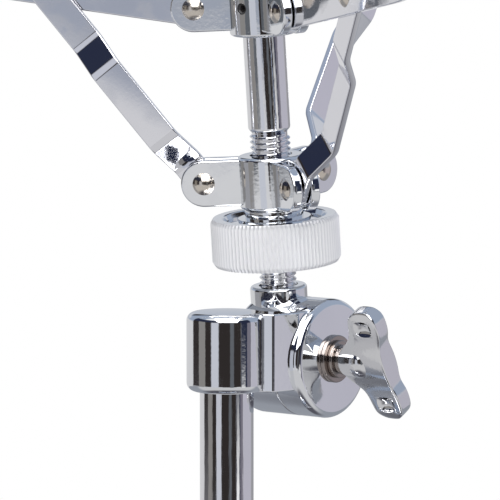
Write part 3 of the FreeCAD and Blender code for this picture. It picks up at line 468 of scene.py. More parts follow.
def close_up():
    """Merge doubles, turn the faces outwards and leave edit mode."""
    select_whole()
    bpy.ops.mesh.remove_doubles(threshold=TOUCH)
    bpy.ops.mesh.normals_make_consistent(inside=False)
    bpy.ops.object.mode_set(mode="OBJECT")


def turn_profile(name, profile, steps=FINE_STEPS):
    """Spin a chain of (radius, height) points round the Z axis."""
    piece = start_piece(name)
    draw_chain([(radius, 0, height) for radius, height in profile])
    select_whole()
    bpy.ops.mesh.spin(steps=steps, angle=math.tau, center=(0, 0, 0), axis=(0, 0, 1))
    close_up()
    return piece


def sleeve(bore, radius, foot, top):
    """Profile of a tube: out along its foot, up its side, in along its top and down the bore."""
    return [(bore, foot), (radius, foot), (radius, top), (bore, top), (bore, foot)]


def pin(radius, foot, top):
    """Profile of a solid pin."""
    return [(0, foot), (radius, foot), (radius, top), (0, top)]


print("chains can be drawn and turned")

# %% [markdown]
# A sharp edge on chrome has no highlight, so every edge is rounded. On a turned part, the ring of edges
# at a given radius and height is picked and bevelled. On other shapes the Bevel modifier finds the edges
# by the angle between their faces.

# %% Picking and rounding
def pick(piece, kind, wanted):
    """Select, in edit mode, the points, edges or faces that pass a test."""
    bpy.ops.mesh.select_mode(type=kind)
    bpy.ops.mesh.select_all(action="DESELECT")
    mesh = bmesh.from_edit_mesh(piece.data)
    for element in {"VERT": mesh.verts, "EDGE": mesh.edges, "FACE": mesh.faces}[kind]:
        element.select_set(wanted(element))
    bmesh.update_edit_mesh(piece.data)


def round_ring(piece, radius, height, rounding, segments=4):
    """Round the ring of edges at a radius and height of a part turned about Z."""
    def on_ring(point):
        return (abs(math.hypot(point.x, point.y) - radius * MM) < NEAR
                and abs(point.z - height * MM) < NEAR)

    bpy.context.view_layer.objects.active = piece
    bpy.ops.object.mode_set(mode="EDIT")
    pick(piece, "EDGE", lambda edge: all(on_ring(end.co) for end in edge.verts))
    bpy.ops.mesh.bevel(offset=rounding * MM, segments=segments, affect="EDGES", profile=0.5)
    bpy.ops.object.mode_set(mode="OBJECT")


def apply_modifier(piece, kind, **settings):
    """Add a modifier, set it up and apply it."""
    bpy.context.view_layer.objects.active = piece
    bpy.ops.object.modifier_add(type=kind)
    modifier = piece.modifiers[-1]
    for name, value in settings.items():
        setattr(modifier, name, value)
    bpy.ops.object.modifier_apply(modifier=modifier.name)


def soften_edges(piece, width, segments, angle):
    """Bevel the edges where two faces meet at more than an angle, in degrees."""
    apply_modifier(piece, "BEVEL", width=width * MM, segments=segments, limit_method="ANGLE",
                   angle_limit=math.radians(angle))


def thicken(piece, thickness):
    """Give a sheet its thickness, half to each side."""
    apply_modifier(piece, "SOLIDIFY", thickness=thickness * MM, offset=0.0, use_even_offset=True)


print("rings and edges can be rounded")

# %% [markdown]
# A finished piece is seated by a matrix, which is then applied, so that its place is in its mesh. The
# Weighted Normal modifier lets the large faces decide the shading, which keeps a bevelled flat looking
# flat in the mirror. Last, the piece takes the body of the solid it stands for, and the finish of that
# solid's slot.

# %% Seating and joining
SMOOTH_ANGLE = 32


def select_only(piece):
    """Select one object and make it the active one."""
    bpy.ops.object.select_all(action="DESELECT")
    piece.select_set(True)
    bpy.context.view_layer.objects.active = piece


def seat(piece, place, smooth_angle=SMOOTH_ANGLE):
    """Put a piece at its place, write the place into its mesh and shade it smooth up to an angle."""
    select_only(piece)
    piece.matrix_world = place
    bpy.ops.object.transform_apply(location=True, rotation=True, scale=True)
    bpy.ops.object.shade_smooth_by_angle(angle=math.radians(smooth_angle))
    apply_modifier(piece, "WEIGHTED_NORMAL", keep_sharp=True)
    return piece


def copy_of(piece, name):
    """A copy with its own mesh."""
    twin = piece.copy()
    twin.data = piece.data.copy()
    label(twin, name)
    bpy.context.scene.collection.objects.link(twin)
    return twin


def join(pieces, name):
    """Join pieces into one object with the given name."""
    select_only(pieces[0])
    for piece in pieces[1:]:
        piece.select_set(True)
    bpy.ops.object.join()
    label(pieces[0], name)
    return pieces[0]


slot_of = {part["node"]: part["material_slot"] for part in frame["record"]["subparts"]}
members_of = frame["record"]["behaviour"]["bodies"]
body_of = {node: body for body, members in members_of.items() for node in members}


def stand_for(piece, node):
    """Let a finished piece take the place, the body and the finish of a solid."""
    slot = slot_of[node]
    piece.data.materials.clear()
    piece.data.materials.append(finishes[slot])
    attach(piece, body_of[node])
    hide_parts(node)
    triangles = sum(len(face.vertices) - 2 for face in piece.data.polygons)
    print(f"{piece.name}: {triangles} triangles for {node}")


print("pieces can be seated, copied, joined and stand for solids")

# %% [markdown]
# ## Places
# Three frames carry everything in the picture: the tube's, which is the stand's own; the tilter's, on
# the axis of its screw; and the basket rod's, which leans with the tilter. The last two are read from
# the joints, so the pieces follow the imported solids.

# %% Frames of the tube, the tilter and the rod
TUBE = Matrix.Identity(4)
tilt_axis = Vector(joints["tilt"]["pos_m"])
rod_axis = Vector(joints["basket_slide"]["axis"])
lean = math.atan2(-rod_axis.y, rod_axis.z)
TILTER = Matrix.Translation(tilt_axis)
ROD = TILTER @ Matrix.Rotation(lean, 4, "X")
to_rod = ROD.inverted()
# A part turned about Z lies along +X after this turn
ALONG_X = Matrix.Rotation(math.pi / 2, 4, "Y")


def extent(node, place=TUBE):
    """Lowest and highest corner of a solid, in millimetres, in a frame."""
    inverse = place.inverted()
    points = [inverse @ vertex.co / MM for vertex in nodes[node].data.vertices]
    low = Vector(min(point[axis] for point in points) for axis in range(3))
    high = Vector(max(point[axis] for point in points) for axis in range(3))
    return low, high


def offset(x=0.0, y=0.0, z=0.0):
    """A shift in millimetres."""
    return Matrix.Translation(Vector((x, y, z)) * MM)


print(f"tilter axis at {tilt_axis.z / MM:.0f} mm, rod leaning {math.degrees(lean):.1f} degrees")

# %% [markdown]
# ## Tubes
# A tube is a turned part with a closed profile, the sleeve above. Its ends are broken by a small radius,
# as a tube cutter and a file leave them.

# %% Base tube and upper tube
TUBE_WALLS = {"base_tube": 1.5, "upper_tube": 1.3}
TUBE_END_RADIUS = 0.4

for node, wall in TUBE_WALLS.items():
    low, high = extent(node)
    tube = turn_profile(f"{node}_drawn", sleeve(high.x - wall, high.x, low.z, high.z))
    round_ring(tube, high.x, low.z, TUBE_END_RADIUS)
    round_ring(tube, high.x, high.z, TUBE_END_RADIUS)
    stand_for(seat(tube, TUBE), node)

# %% [markdown]
# ## Basket rod
# The rod is plain above and threaded below. The thread could be a stack of rings, but a real one climbs:
# a V of three short edges is wound up the rod by the Screw modifier, one pitch per turn. The pitch is
# the one that ties the nut's turning to the hub's travel.

# %% Thread
THREAD_DEPTH = 0.85
# The feet of the thread lie a quarter deeper than its groove, inside the rod
THREAD_BURIED = 1.25 * THREAD_DEPTH
CREST_START, CREST_END = 0.42, 0.58
travel_per_radian = next(link["ratio"] for link in frame["record"]["behaviour"]["couplings"]
                         if link["joint"] == "basket_slide")
pitch = travel_per_radian * math.tau / MM


def wind_thread(name, foot, top, crest):
    """A thread wound up the Z axis from one height to another."""
    thread = start_piece(name)
    buried = crest - THREAD_BURIED
    draw_chain([(buried, 0, foot), (crest, 0, foot + CREST_START * pitch),
                (crest, 0, foot + CREST_END * pitch), (buried, 0, foot + pitch)])
    bpy.ops.object.mode_set(mode="OBJECT")
    apply_modifier(thread, "SCREW", angle=math.tau, screw_offset=pitch * MM, axis="Z",
                   iterations=int((top - foot) / pitch), steps=SMALL_STEPS, render_steps=SMALL_STEPS)
    bpy.ops.object.mode_set(mode="EDIT")
    close_up()
    return thread


print(f"thread pitch {pitch:.2f} mm")

# %% Rod
THREAD_TOP, THREAD_CREST = 80.6, 7.2
STUB_FOOT, STUB_TOP, STUB_CREST = 22.0, 33.0, 6.6
SHOULDER, SHOULDER_ROUND, ROD_TOP_ROUND = 1.4, 0.5, 1.2
ROD_SMOOTH_ANGLE = 24

rod_low, rod_high = extent("basket_rod", ROD)
rod_radius = rod_high.x
plain_foot = THREAD_TOP + SHOULDER
root, stub_root = THREAD_CREST - THREAD_DEPTH, STUB_CREST - THREAD_DEPTH
rod = turn_profile("rod_core", [
    (0, rod_low.z), (STUB_CREST, rod_low.z), (STUB_CREST, STUB_FOOT), (stub_root, STUB_FOOT),
    (stub_root, STUB_TOP), (root, STUB_TOP), (root, THREAD_TOP), (rod_radius, plain_foot),
    (rod_radius, rod_high.z), (0, rod_high.z)])
round_ring(rod, rod_radius, rod_high.z, ROD_TOP_ROUND)
round_ring(rod, rod_radius, plain_foot, SHOULDER_ROUND)
threads = [wind_thread("basket_thread", STUB_TOP, THREAD_TOP, THREAD_CREST),
           wind_thread("stub_thread", STUB_FOOT, STUB_TOP, STUB_CREST)]
rod = join([rod, *threads], "basket_rod_threaded")
stand_for(seat(rod, ROD, ROD_SMOOTH_ANGLE), "basket_rod")

# %% [markdown]
# ## Knurled nut
# The nut is turned with two points per knurl. Pulling in every other column of its widest rings makes
# the straight knurl, and leaves the bevels above and below scalloped, as the cutter does. The knurl
# scatters light and looks white, so its finish is satin and only partly metallic. It is pale on the ridges,
# with painted shade in the grooves, which the distance to the rod tells apart. The faces above and below
# the knurl are polished as the castings are.

# %% Finish of the knurl
# The groove colour is painted shade that darkens the knurl's grooves; the ridge colour is the knurl's own
RIDGE, GROOVE_SHADE = (0.96, 0.96, 0.97), (0.76, 0.76, 0.78)
KNURL_METALLIC, KNURL_ROUGHNESS, KNURL_SMUDGE = 0.3, 0.34, 0.1
KNURL_GRAIN, KNURL_RELIEF = 1800, 0.2


def knurl_finish(name, groove_radius, ridge_radius):
    """Satin chrome that is pale on the ridges, with painted shade in the grooves."""
    material, finish = new_material(name)
    place = finish.add("ShaderNodeTexCoord", output="Object")
    from_axis = finish.vector("SUBTRACT", place, tilt_axis)
    radius = finish.vector("LENGTH", finish.vector("CROSS_PRODUCT", from_axis, rod_axis))
    clear_of_groove_shade = finish.add("ShaderNodeMapRange", inputs={0: radius, 1: groove_radius, 2: ridge_radius})
    roughness = KNURL_ROUGHNESS + KNURL_SMUDGE * fine_noise(finish, SMUDGE_SCALE, detail=SMUDGE_DETAIL)
    grains = fine_noise(finish, KNURL_GRAIN)
    # Painted shade in the grooves, mixed in by the distance to the rod
    colour = finish.mix(clear_of_groove_shade, GROOVE_SHADE, RIDGE)
    close_finish(finish, colour, KNURL_METALLIC, roughness, grains, KNURL_RELIEF, PEEL_DEPTH)
    return material


print(f"knurl finish from {GROOVE_SHADE} to {RIDGE}")

# %% Nut
KNURLS = 92
KNURL_DEPTH = 0.6
NUT_BEVEL, NUT_BEVEL_REACH = 1.6, 1.0
NUT_HEIGHT, NUT_RIM, NUT_RECESS = 17.0, 4.5, 1.8
RECESS_SLOPE, COLLAR_WIDTH, COLLAR_DROP = 0.8, 2.5, 0.4
NECK_RADIUS, NUT_BORE = 10.5, 7.3
RIM_ROUND, NECK_ROUND = 0.5, 0.4

nut_low, nut_high = extent("knurled_nut", ROD)
foot, wide = nut_low.z, nut_high.x
shoulder, top = wide - NUT_BEVEL_REACH, foot + NUT_HEIGHT
rim, collar = wide - NUT_RIM, NECK_RADIUS + COLLAR_WIDTH
nut = turn_profile("knurled_nut_turned", [
    (NUT_BORE, foot), (shoulder, foot), (wide, foot + NUT_BEVEL), (wide, top - NUT_BEVEL),
    (shoulder, top), (rim, top), (rim - RECESS_SLOPE, top - NUT_RECESS), (collar, top - NUT_RECESS),
    (collar, top - COLLAR_DROP), (NECK_RADIUS, top - COLLAR_DROP), (NECK_RADIUS, nut_high.z),
    (NUT_BORE, nut_high.z), (NUT_BORE, foot)], steps=2 * KNURLS)
bpy.ops.object.mode_set(mode="EDIT")


def in_groove(vertex):
    """Whether a point is on the widest rings, in every other column."""
    column = round(math.atan2(vertex.co.y, vertex.co.x) / math.tau * 2 * KNURLS)
    on_rim = math.hypot(vertex.co.x, vertex.co.y) > wide * MM - NEAR
    return on_rim and column % 2 == 1


pick(nut, "VERT", in_groove)
pulled_in = 1 - KNURL_DEPTH / wide
bpy.ops.transform.resize(value=(pulled_in, pulled_in, 1), center_override=(0, 0, 0))
bpy.ops.object.mode_set(mode="OBJECT")
round_ring(nut, rim, top, RIM_ROUND)
round_ring(nut, NECK_RADIUS, nut_high.z, NECK_ROUND)
seat(nut, ROD)
finishes["satin_knurl"] = knurl_finish("satin_knurl_chrome", (wide - KNURL_DEPTH) * MM, wide * MM)
stand_for(nut, "knurled_nut")
nut.data.materials.append(finishes["chrome_cast"])
knurl_start = shoulder + NUT_BEVEL_REACH / 4
for face in nut.data.polygons:
    centre = to_rod @ face.center / MM
    face.material_index = 0 if math.hypot(centre.x, centre.y) > knurl_start else 1

# %% [markdown]
# ## Hubs
# Each hub is a turned barrel with three pairs of ears. An ear starts as a round disc: moving the inner
# half of its points towards the rod stretches it into a plate, a cut squares the end that is inside the
# barrel, and a bevel gives the cast edge. One ear is modelled, and all twelve are copies of it.

# %% One ear
EAR_RADIUS, EAR_THICKNESS, EAR_GAP = 8.3, 3.5, 3.2
EAR_ROOT, EAR_EDGE, EAR_SIDES = 8.4, 0.7, 64
PIVOT_RADIUS = 24.0
CORNER_ANGLE = 60

ear_reach = (EAR_ROOT - PIVOT_RADIUS) * MM
bpy.ops.object.select_all(action="DESELECT")
bpy.ops.mesh.primitive_cylinder_add(vertices=EAR_SIDES, radius=EAR_RADIUS * MM, depth=EAR_THICKNESS * MM)
first_ear = bpy.context.object
label(first_ear, "ear")
bpy.ops.object.mode_set(mode="EDIT")
pick(first_ear, "VERT", lambda vertex: vertex.co.x < -TOUCH)
bpy.ops.transform.translate(value=(ear_reach, 0, 0))
select_whole()
bpy.ops.mesh.bisect(plane_co=(ear_reach, 0, 0), plane_no=(1, 0, 0), use_fill=True, clear_inner=True)
close_up()
soften_edges(first_ear, EAR_EDGE, segments=4, angle=CORNER_ANGLE)
print(f"ear of {len(first_ear.data.polygons)} faces")

# %% [markdown]
# The ears are set round the barrel in pairs, with room for a strip between the two. The upper hub also
# has a tapped hole for the set screw that fixes it to the rod. A Boolean cuts it as a drill would.

# %% Upper and lower hub
HUB_RADIUS, HUB_BORE, HUB_ROUND = 12.0, 7.55, 1.2
SPOKES = (90, 210, 330)
SET_SCREW_AZIMUTH, SET_SCREW_RADIUS = 270, 2.0
TAPPED_EDGE = 0.3
ACROSS = Matrix.Rotation(math.pi / 2, 4, "X")


def spoke(azimuth):
    """The rod's frame, turned about the rod so that X points along a spoke."""
    return ROD @ Matrix.Rotation(math.radians(azimuth), 4, "Z")


def pivot_height(joint):
    """Height of a joint along the rod, in millimetres."""
    return (to_rod @ Vector(joints[joint]["pos_m"])).z / MM


def make_hub(node, height, drill=None):
    """A hub with six ears at a height, and a hole where a drill is given."""
    low, high = extent(node, ROD)
    barrel = turn_profile(f"{node}_barrel", sleeve(HUB_BORE, HUB_RADIUS, low.z, high.z))
    round_ring(barrel, HUB_RADIUS, low.z, HUB_ROUND)
    round_ring(barrel, HUB_RADIUS, high.z, HUB_ROUND)
    seat(barrel, ROD)
    if drill:
        apply_modifier(barrel, "BOOLEAN", object=drill, operation="DIFFERENCE")
        soften_edges(barrel, TAPPED_EDGE, segments=3, angle=CORNER_ANGLE)
        seat(barrel, TUBE)
    parts = [barrel]
    for azimuth in SPOKES:
        for side in (-1, 1):
            shift = side * (EAR_GAP + EAR_THICKNESS) / 2
            place = spoke(azimuth) @ offset(PIVOT_RADIUS, shift, height) @ ACROSS
            parts.append(seat(copy_of(first_ear, f"{node}_ear"), place))
    stand_for(join(parts, f"{node}_cast"), node)


lower_pivot = pivot_height("strut_1_swing")
upper_pivot = pivot_height("arm_1_swing")
make_hub("lower_hub", lower_pivot)
screw_place = spoke(SET_SCREW_AZIMUTH) @ offset(z=upper_pivot) @ ALONG_X
drill = turn_profile("drill", pin(SET_SCREW_RADIUS, 0, 2 * HUB_RADIUS), SMALL_STEPS)
make_hub("upper_hub", upper_pivot, seat(drill, screw_place))
bpy.data.objects.remove(drill)
bpy.data.objects.remove(first_ear)

# %% [markdown]
# The set screw ends a little below the barrel's skin, so that it can't catch, and has a round socket in
# its end. It is turned like the rest and lies along the same axis as the drill.

# %% Set screw of the upper hub
SET_SCREW_DEPTH, SET_SCREW_ROUND = 0.8, 0.3
SOCKET_RADIUS, SOCKET_DEPTH = 1.2, 2.2

screw_foot, screw_top = HUB_BORE, HUB_RADIUS - SET_SCREW_DEPTH
socket_floor = screw_top - SOCKET_DEPTH
screw = turn_profile("hub_set_screw_socketed", [
    (0, screw_foot), (SET_SCREW_RADIUS, screw_foot), (SET_SCREW_RADIUS, screw_top),
    (SOCKET_RADIUS, screw_top), (SOCKET_RADIUS, socket_floor), (0, socket_floor)], SMALL_STEPS)
round_ring(screw, SET_SCREW_RADIUS, screw_top, SET_SCREW_ROUND)
stand_for(seat(screw, screw_place), "hub_set_screw")

# %% [markdown]
# ## Rivets
# A rivet head is the cap of a ball, a little flatter than half. One head is turned and copied to both
# ends of every rivet of the basket.

# %% Rivet heads
HEAD_RADIUS, HEAD_LATITUDE = 4.0, math.radians(42)
HEAD_POINTS = 10
FOOT_DEPTH = 0.2

ball = HEAD_RADIUS / math.cos(HEAD_LATITUDE)
latitudes = [HEAD_LATITUDE + (math.pi / 2 - HEAD_LATITUDE) * step / HEAD_POINTS
             for step in range(HEAD_POINTS + 1)]
cap = [(ball * math.cos(angle), ball * (math.sin(angle) - math.sin(HEAD_LATITUDE))) for angle in latitudes]
head = turn_profile("rivet_head", [(0, -FOOT_DEPTH), (HEAD_RADIUS, -FOOT_DEPTH), *cap], SMALL_STEPS)


def rivet(name, places):
    """Heads at the given places, each standing on its place's XY plane."""
    return join([seat(copy_of(head, name), place) for place in places], name)


def both_ends(place, low, high):
    """Places for heads along the Y axis of a frame: one at each end of the grip."""
    facing_back = Matrix.Rotation(math.pi / 2, 4, "X")
    facing_on = Matrix.Rotation(-math.pi / 2, 4, "X")
    return [place @ offset(y=low) @ facing_back, place @ offset(y=high) @ facing_on]


print(f"rivet head {2 * HEAD_RADIUS} mm wide")

# %% Rivets of the hubs and of the strut joints
ARM_ANGLE = math.radians(10.5)
JOINT_PLACE, JOINT_NEAR, JOINT_FAR = 54.0, -1.25, 4.25


def arm_place(azimuth):
    """The frame of an arm: at its pivot on the upper hub, with X along the arm."""
    return spoke(azimuth) @ offset(PIVOT_RADIUS, 0, upper_pivot) @ Matrix.Rotation(-ARM_ANGLE, 4, "Y")


grip = EAR_GAP / 2 + EAR_THICKNESS
for node, height in (("lower_hub_rivets", lower_pivot), ("upper_hub_rivets", upper_pivot)):
    places = []
    for azimuth in SPOKES:
        places += both_ends(spoke(azimuth) @ offset(PIVOT_RADIUS, 0, height), -grip, grip)
    stand_for(rivet(f"{node}_domed", places), node)
for index, azimuth in enumerate(SPOKES, start=1):
    places = both_ends(arm_place(azimuth) @ offset(x=JOINT_PLACE), JOINT_NEAR, JOINT_FAR)
    stand_for(rivet(f"strut_rivet_{index}_domed", places), f"strut_rivet_{index}")
bpy.data.objects.remove(head)

# %% [markdown]
# ## Struts
# A strut is flat strip, bent sideways out of the lower hub's ears, straight along the bow, and joggled
# back beside its arm. It is drawn as the line of its middle, pulled to its width, bent round at the four
# bends, rounded at its corners, and only then given its thickness, so that the bends keep it even.

# %% Bowed struts
STRUT_WIDTH, STRUT_THICKNESS, STRUT_DROP = 11.2, 2.4, 0.7
STRUT_SIDE = 2.75
STRUT_BENDS = [(9.8, 0.0), (21.0, 7.5), (54.0, 7.5), (65.0, STRUT_SIDE)]
BEND_RADIUS, BEND_SEGMENTS = 1.6, 5
STRUT_EDGE = 0.45
# An end is rounded by nearly half the width, which leaves a short straight bit between its two corners
END_ROUND, END_SEGMENTS = 0.99, 8
STRIP_CORNER, STRIP_SMOOTH = 50, 40

out = JOINT_PLACE * math.cos(ARM_ANGLE)
rise = upper_pivot + JOINT_PLACE * math.sin(ARM_ANGLE) - lower_pivot
strut_length = math.hypot(out, rise)
strut_angle = math.atan2(rise, out)
half = STRUT_WIDTH / 2

strut = start_piece("strut")
line = [(-half, 0.0), *STRUT_BENDS, (strut_length + half, STRUT_SIDE)]
draw_chain([(x, y, -half - STRUT_DROP) for x, y in line])
select_whole()
pull(0, 0, STRUT_WIDTH)


def at_bend(edge):
    """Whether an edge runs across the strip at one of its bends."""
    first, second = (end.co for end in edge.verts)
    across = abs(first.z - second.z) > half * MM
    return across and -TOUCH < first.x < strut_length * MM


pick(strut, "EDGE", at_bend)
bpy.ops.mesh.bevel(offset=BEND_RADIUS * MM, segments=BEND_SEGMENTS, affect="EDGES")
line_start, line_end = -half * MM + TOUCH, (strut_length + half) * MM - TOUCH
pick(strut, "VERT", lambda vertex: not line_start < vertex.co.x < line_end)
bpy.ops.mesh.bevel(offset=END_ROUND * half * MM, segments=END_SEGMENTS, affect="VERTICES")
close_up()
thicken(strut, STRUT_THICKNESS)
soften_edges(strut, STRUT_EDGE, segments=3, angle=STRIP_CORNER)
for index, azimuth in enumerate(SPOKES, start=1):
    place = spoke(azimuth) @ offset(PIVOT_RADIUS, 0, lower_pivot) @ Matrix.Rotation(-strut_angle, 4, "Y")
    stand_for(seat(copy_of(strut, f"strut_{index}_strip"), place, STRIP_SMOOTH), f"strut_{index}")
bpy.data.objects.remove(strut)

# %% [markdown]
# ## Tilter socket
# The socket is one casting: a cup over the tube, a block beside it, and a disc across the tilter's axis.
# Each is rounded by itself and they overlap inside the metal. The cup is turned, with a generous radius
# top and bottom, and the disc is turned too, and then laid along the screw.

# %% Cup and disc
CUP_TOP, CUP_BOTTOM, CUP_ROUND, CUP_ROOF = 18.0, 10.0, 3.0, 6.0
CUP_RADIUS, CUP_BORE = 14.2, 9.6
DISC_BACK, DISC_ROUND, DISC_BACK_ROUND = 11.5, 2.6, 0.4
SCREW_HOLE = 4.05
WIDE_ROUND_SEGMENTS = 8
axis_height = tilt_axis.z / MM
axis_offset = tilt_axis.y / MM

socket_low, socket_high = extent("tilter_socket")
cup_foot, cup_top = axis_height - CUP_BOTTOM, axis_height + CUP_TOP
cup_ceiling = cup_top - CUP_ROOF
cup = turn_profile("socket_cup", [
    (CUP_BORE, cup_foot), (CUP_RADIUS, cup_foot), (CUP_RADIUS, cup_top), (0, cup_top),
    (0, cup_ceiling), (CUP_BORE, cup_ceiling), (CUP_BORE, cup_foot)])
round_ring(cup, CUP_RADIUS, cup_foot, CUP_ROUND, WIDE_ROUND_SEGMENTS)
round_ring(cup, CUP_RADIUS, cup_top, CUP_ROUND, WIDE_ROUND_SEGMENTS)
seat(cup, TUBE)

drum_radius, disc_front = axis_height - socket_low.z, socket_high.x
disc = turn_profile("socket_disc", sleeve(SCREW_HOLE, drum_radius, DISC_BACK, disc_front))
round_ring(disc, drum_radius, disc_front, DISC_ROUND, WIDE_ROUND_SEGMENTS)
round_ring(disc, drum_radius, DISC_BACK, DISC_BACK_ROUND)
seat(disc, TILTER @ ALONG_X)
print(f"cup {cup_top - cup_foot:.0f} mm tall, disc {2 * drum_radius:.1f} mm wide")

# %% [markdown]
# The block is a prism on a drawn outline. Its near wall slants a little and ends flush with the disc.
# A web behind it closes the gap to the cup. A hollow strip between cup and block does what the fillet
# of a casting does: it mirrors the whole room within a millimetre, which gives the thin dark and bright
# lines along that corner.

# %% Block and its fillet
BLOCK_NEAR, BLOCK_FRONT, BLOCK_FLUSH, BLOCK_SLANT = 17.8, 20.6, 15.0, 1.6
BLOCK_START, BLOCK_WEB, BLOCK_INSIDE = 2.3, 12.0, 2.2
BLOCK_EDGE, WEB_EDGE, BLOCK_SEGMENTS, BLOCK_DROP = 0.6, 0.5, 5, 0.15
FILLET_RADIUS, FILLET_POINTS, FILLET_OVERLAP = 0.7, 10, 1.0


def prism(name, outline, foot, top, edge=0.0):
    """An upright prism on an outline, with rounded edges where an edge radius is given."""
    piece = start_piece(name)
    draw_chain([(x, y, foot) for x, y in (*outline, outline[0])])
    select_whole()
    bpy.ops.mesh.remove_doubles(threshold=TOUCH)
    bpy.ops.mesh.edge_face_add()
    pull(0, 0, top - foot)
    if edge:
        pick(piece, "EDGE", lambda each: True)
        bpy.ops.mesh.bevel(offset=edge * MM, segments=BLOCK_SEGMENTS, affect="EDGES")
    close_up()
    return seat(piece, TUBE)


block_low, block_high = cup_foot + BLOCK_DROP, cup_top - BLOCK_DROP
corner = math.sqrt(CUP_RADIUS ** 2 - BLOCK_START ** 2)
wall = prism("socket_wall", [
    (DISC_BACK, BLOCK_START), (corner, BLOCK_START), (BLOCK_NEAR, BLOCK_START + BLOCK_SLANT),
    (BLOCK_FRONT, BLOCK_FLUSH), (BLOCK_FRONT, axis_offset), (DISC_BACK, axis_offset)],
    block_low, block_high, BLOCK_EDGE)
web_side = DISC_BACK + BLOCK_INSIDE
web = prism("socket_web", [
    (0, BLOCK_START), (web_side, BLOCK_START), (web_side, BLOCK_WEB), (0, BLOCK_WEB)],
    block_low + BLOCK_DROP, block_high - BLOCK_DROP, WEB_EDGE)

inside_cup, inside_wall = corner - FILLET_OVERLAP, BLOCK_START + FILLET_OVERLAP
hollow = [(inside_cup, inside_wall), (inside_cup, BLOCK_START - FILLET_RADIUS)]
for step in range(FILLET_POINTS + 1):
    angle = math.pi - math.pi / 2 * step / FILLET_POINTS
    hollow.append((corner + FILLET_RADIUS * (1 + math.cos(angle)),
                   BLOCK_START + FILLET_RADIUS * (math.sin(angle) - 1)))
hollow.append((corner + FILLET_RADIUS, inside_wall))
fillet = prism("socket_fillet", hollow, cup_foot + CUP_ROUND / 2, cup_top - CUP_ROUND / 2)
stand_for(join([cup, disc, wall, web, fillet], "tilter_socket_cast"), "tilter_socket")

# %% [markdown]
# ## Tilter head
# The head is the turning half of the drum, with a boss that holds the rod. Its back edge has a large
# radius, and its front edge nearly none, because there it meets the fixed disc.

# %% Drum and boss
HEAD_BACK, HEAD_FRONT, HEAD_BACK_ROUND, HEAD_FRONT_ROUND = 10.0, 11.2, 5.5, 0.5
BOSS_RADIUS, BOSS_TOP, BOSS_ROUND = 10.2, 25.3, 1.2
BOSS_MOUTH, BOSS_MOUTH_DEPTH = 7.0, 4

drum = turn_profile("head_drum", sleeve(SCREW_HOLE, drum_radius, -HEAD_BACK, HEAD_FRONT))
round_ring(drum, drum_radius, -HEAD_BACK, HEAD_BACK_ROUND, segments=10)
round_ring(drum, drum_radius, HEAD_FRONT, HEAD_FRONT_ROUND)
seat(drum, ROD @ ALONG_X)
mouth_floor = BOSS_TOP - BOSS_MOUTH_DEPTH
boss = turn_profile("head_boss", [
    (0, 0), (BOSS_RADIUS, 0), (BOSS_RADIUS, BOSS_TOP), (BOSS_MOUTH, BOSS_TOP),
    (BOSS_MOUTH, mouth_floor), (0, mouth_floor)])
round_ring(boss, BOSS_RADIUS, BOSS_TOP, BOSS_ROUND)
seat(boss, ROD)
stand_for(join([drum, boss], "tilter_head_cast"), "tilter_head")

# %% [markdown]
# ## Washers
# Two washers sit under the wing screw, a wide one and a narrow one. Both have a broken edge, and it is
# the gap between those edges that reads as a dark ring. Their nickel is darker than that of the rivets.

# %% Washers
WASHER_RADII = (8.5, 6.75)
WASHER_LENGTH, WASHER_EDGE = 1.6, 0.4

rings = []
for index, radius in enumerate(WASHER_RADII):
    foot = disc_front + index * WASHER_LENGTH
    top = foot + WASHER_LENGTH
    washer = turn_profile("washer", sleeve(SCREW_HOLE, radius, foot, top), MEDIUM_STEPS)
    round_ring(washer, radius, foot, WASHER_EDGE)
    round_ring(washer, radius, top, WASHER_EDGE)
    rings.append(seat(washer, TILTER @ ALONG_X))
washers = join(rings, "wing_washers_turned")
stand_for(washers, "wing_washers")
washers.data.materials[0] = plated("dark_washer_nickel", (0.46, 0.41, 0.38), (0.30, 0.26, 0.24),
                                   haze=0.10, smudge=0.10, grain=1200, relief=0.15)

# %% [markdown]
# ## Wing screws
# A wing screw is cast, so nothing on it is sharp. It begins as a block in the middle; each wing is
# pulled out of it in sections that widen into a lobe, a dimple is set into both faces of each lobe, and
# subdivision melts the sections together.

# %% Cast wing
# Reach from the screw's axis, inner edge, outer edge and half thickness, of the middle and each section
WING_MIDDLE = (3.0, 1.0, 21.2, 4.2)
WING_SECTIONS = (
    (6.5, 3.6, 21.0, 3.5), (9.4, 7.2, 21.4, 3.2), (12.2, 9.4, 22.8, 3.3), (19.2, 10.2, 22.8, 3.3),
    (22.3, 14.0, 19.4, 2.5))
LOBE_CUTS = (12.2, 20.4)
DIMPLE_LIP, DIMPLE_INSET, DIMPLE_DEPTH = 0.4, 1.4, 1.8
WING_EDGE, WING_CORNER, WING_SUBDIVISIONS = 1.5, 65, 2

bpy.ops.object.select_all(action="DESELECT")
bpy.ops.mesh.primitive_cube_add(size=1)
wing = bpy.context.object
label(wing, "wing")
reach, inner, outer, half = WING_MIDDLE
bpy.ops.object.mode_set(mode="EDIT")
select_whole()
bpy.ops.transform.resize(value=((outer - inner) * MM, 2 * half * MM, 2 * reach * MM))
move((inner + outer) / 2, 0, 0)
for side in (-1, 1):
    pick(wing, "FACE", lambda face: face.normal.z * side > FACING)
    for (reach, inner, outer, half), section in zip((WING_MIDDLE, *WING_SECTIONS), WING_SECTIONS):
        next_reach, next_inner, next_outer, next_half = section
        middle, next_middle = (inner + outer) / 2, (next_inner + next_outer) / 2
        pull(next_middle - middle, 0, side * (next_reach - reach))
        growth = ((next_outer - next_inner) / (outer - inner), next_half / half, 1)
        middle_of_end = (next_middle * MM, 0, side * next_reach * MM)
        bpy.ops.transform.resize(value=growth, center_override=middle_of_end)
for cut in LOBE_CUTS:
    select_whole()
    bpy.ops.mesh.bisect(plane_co=(cut * MM, 0, 0), plane_no=(1, 0, 0))
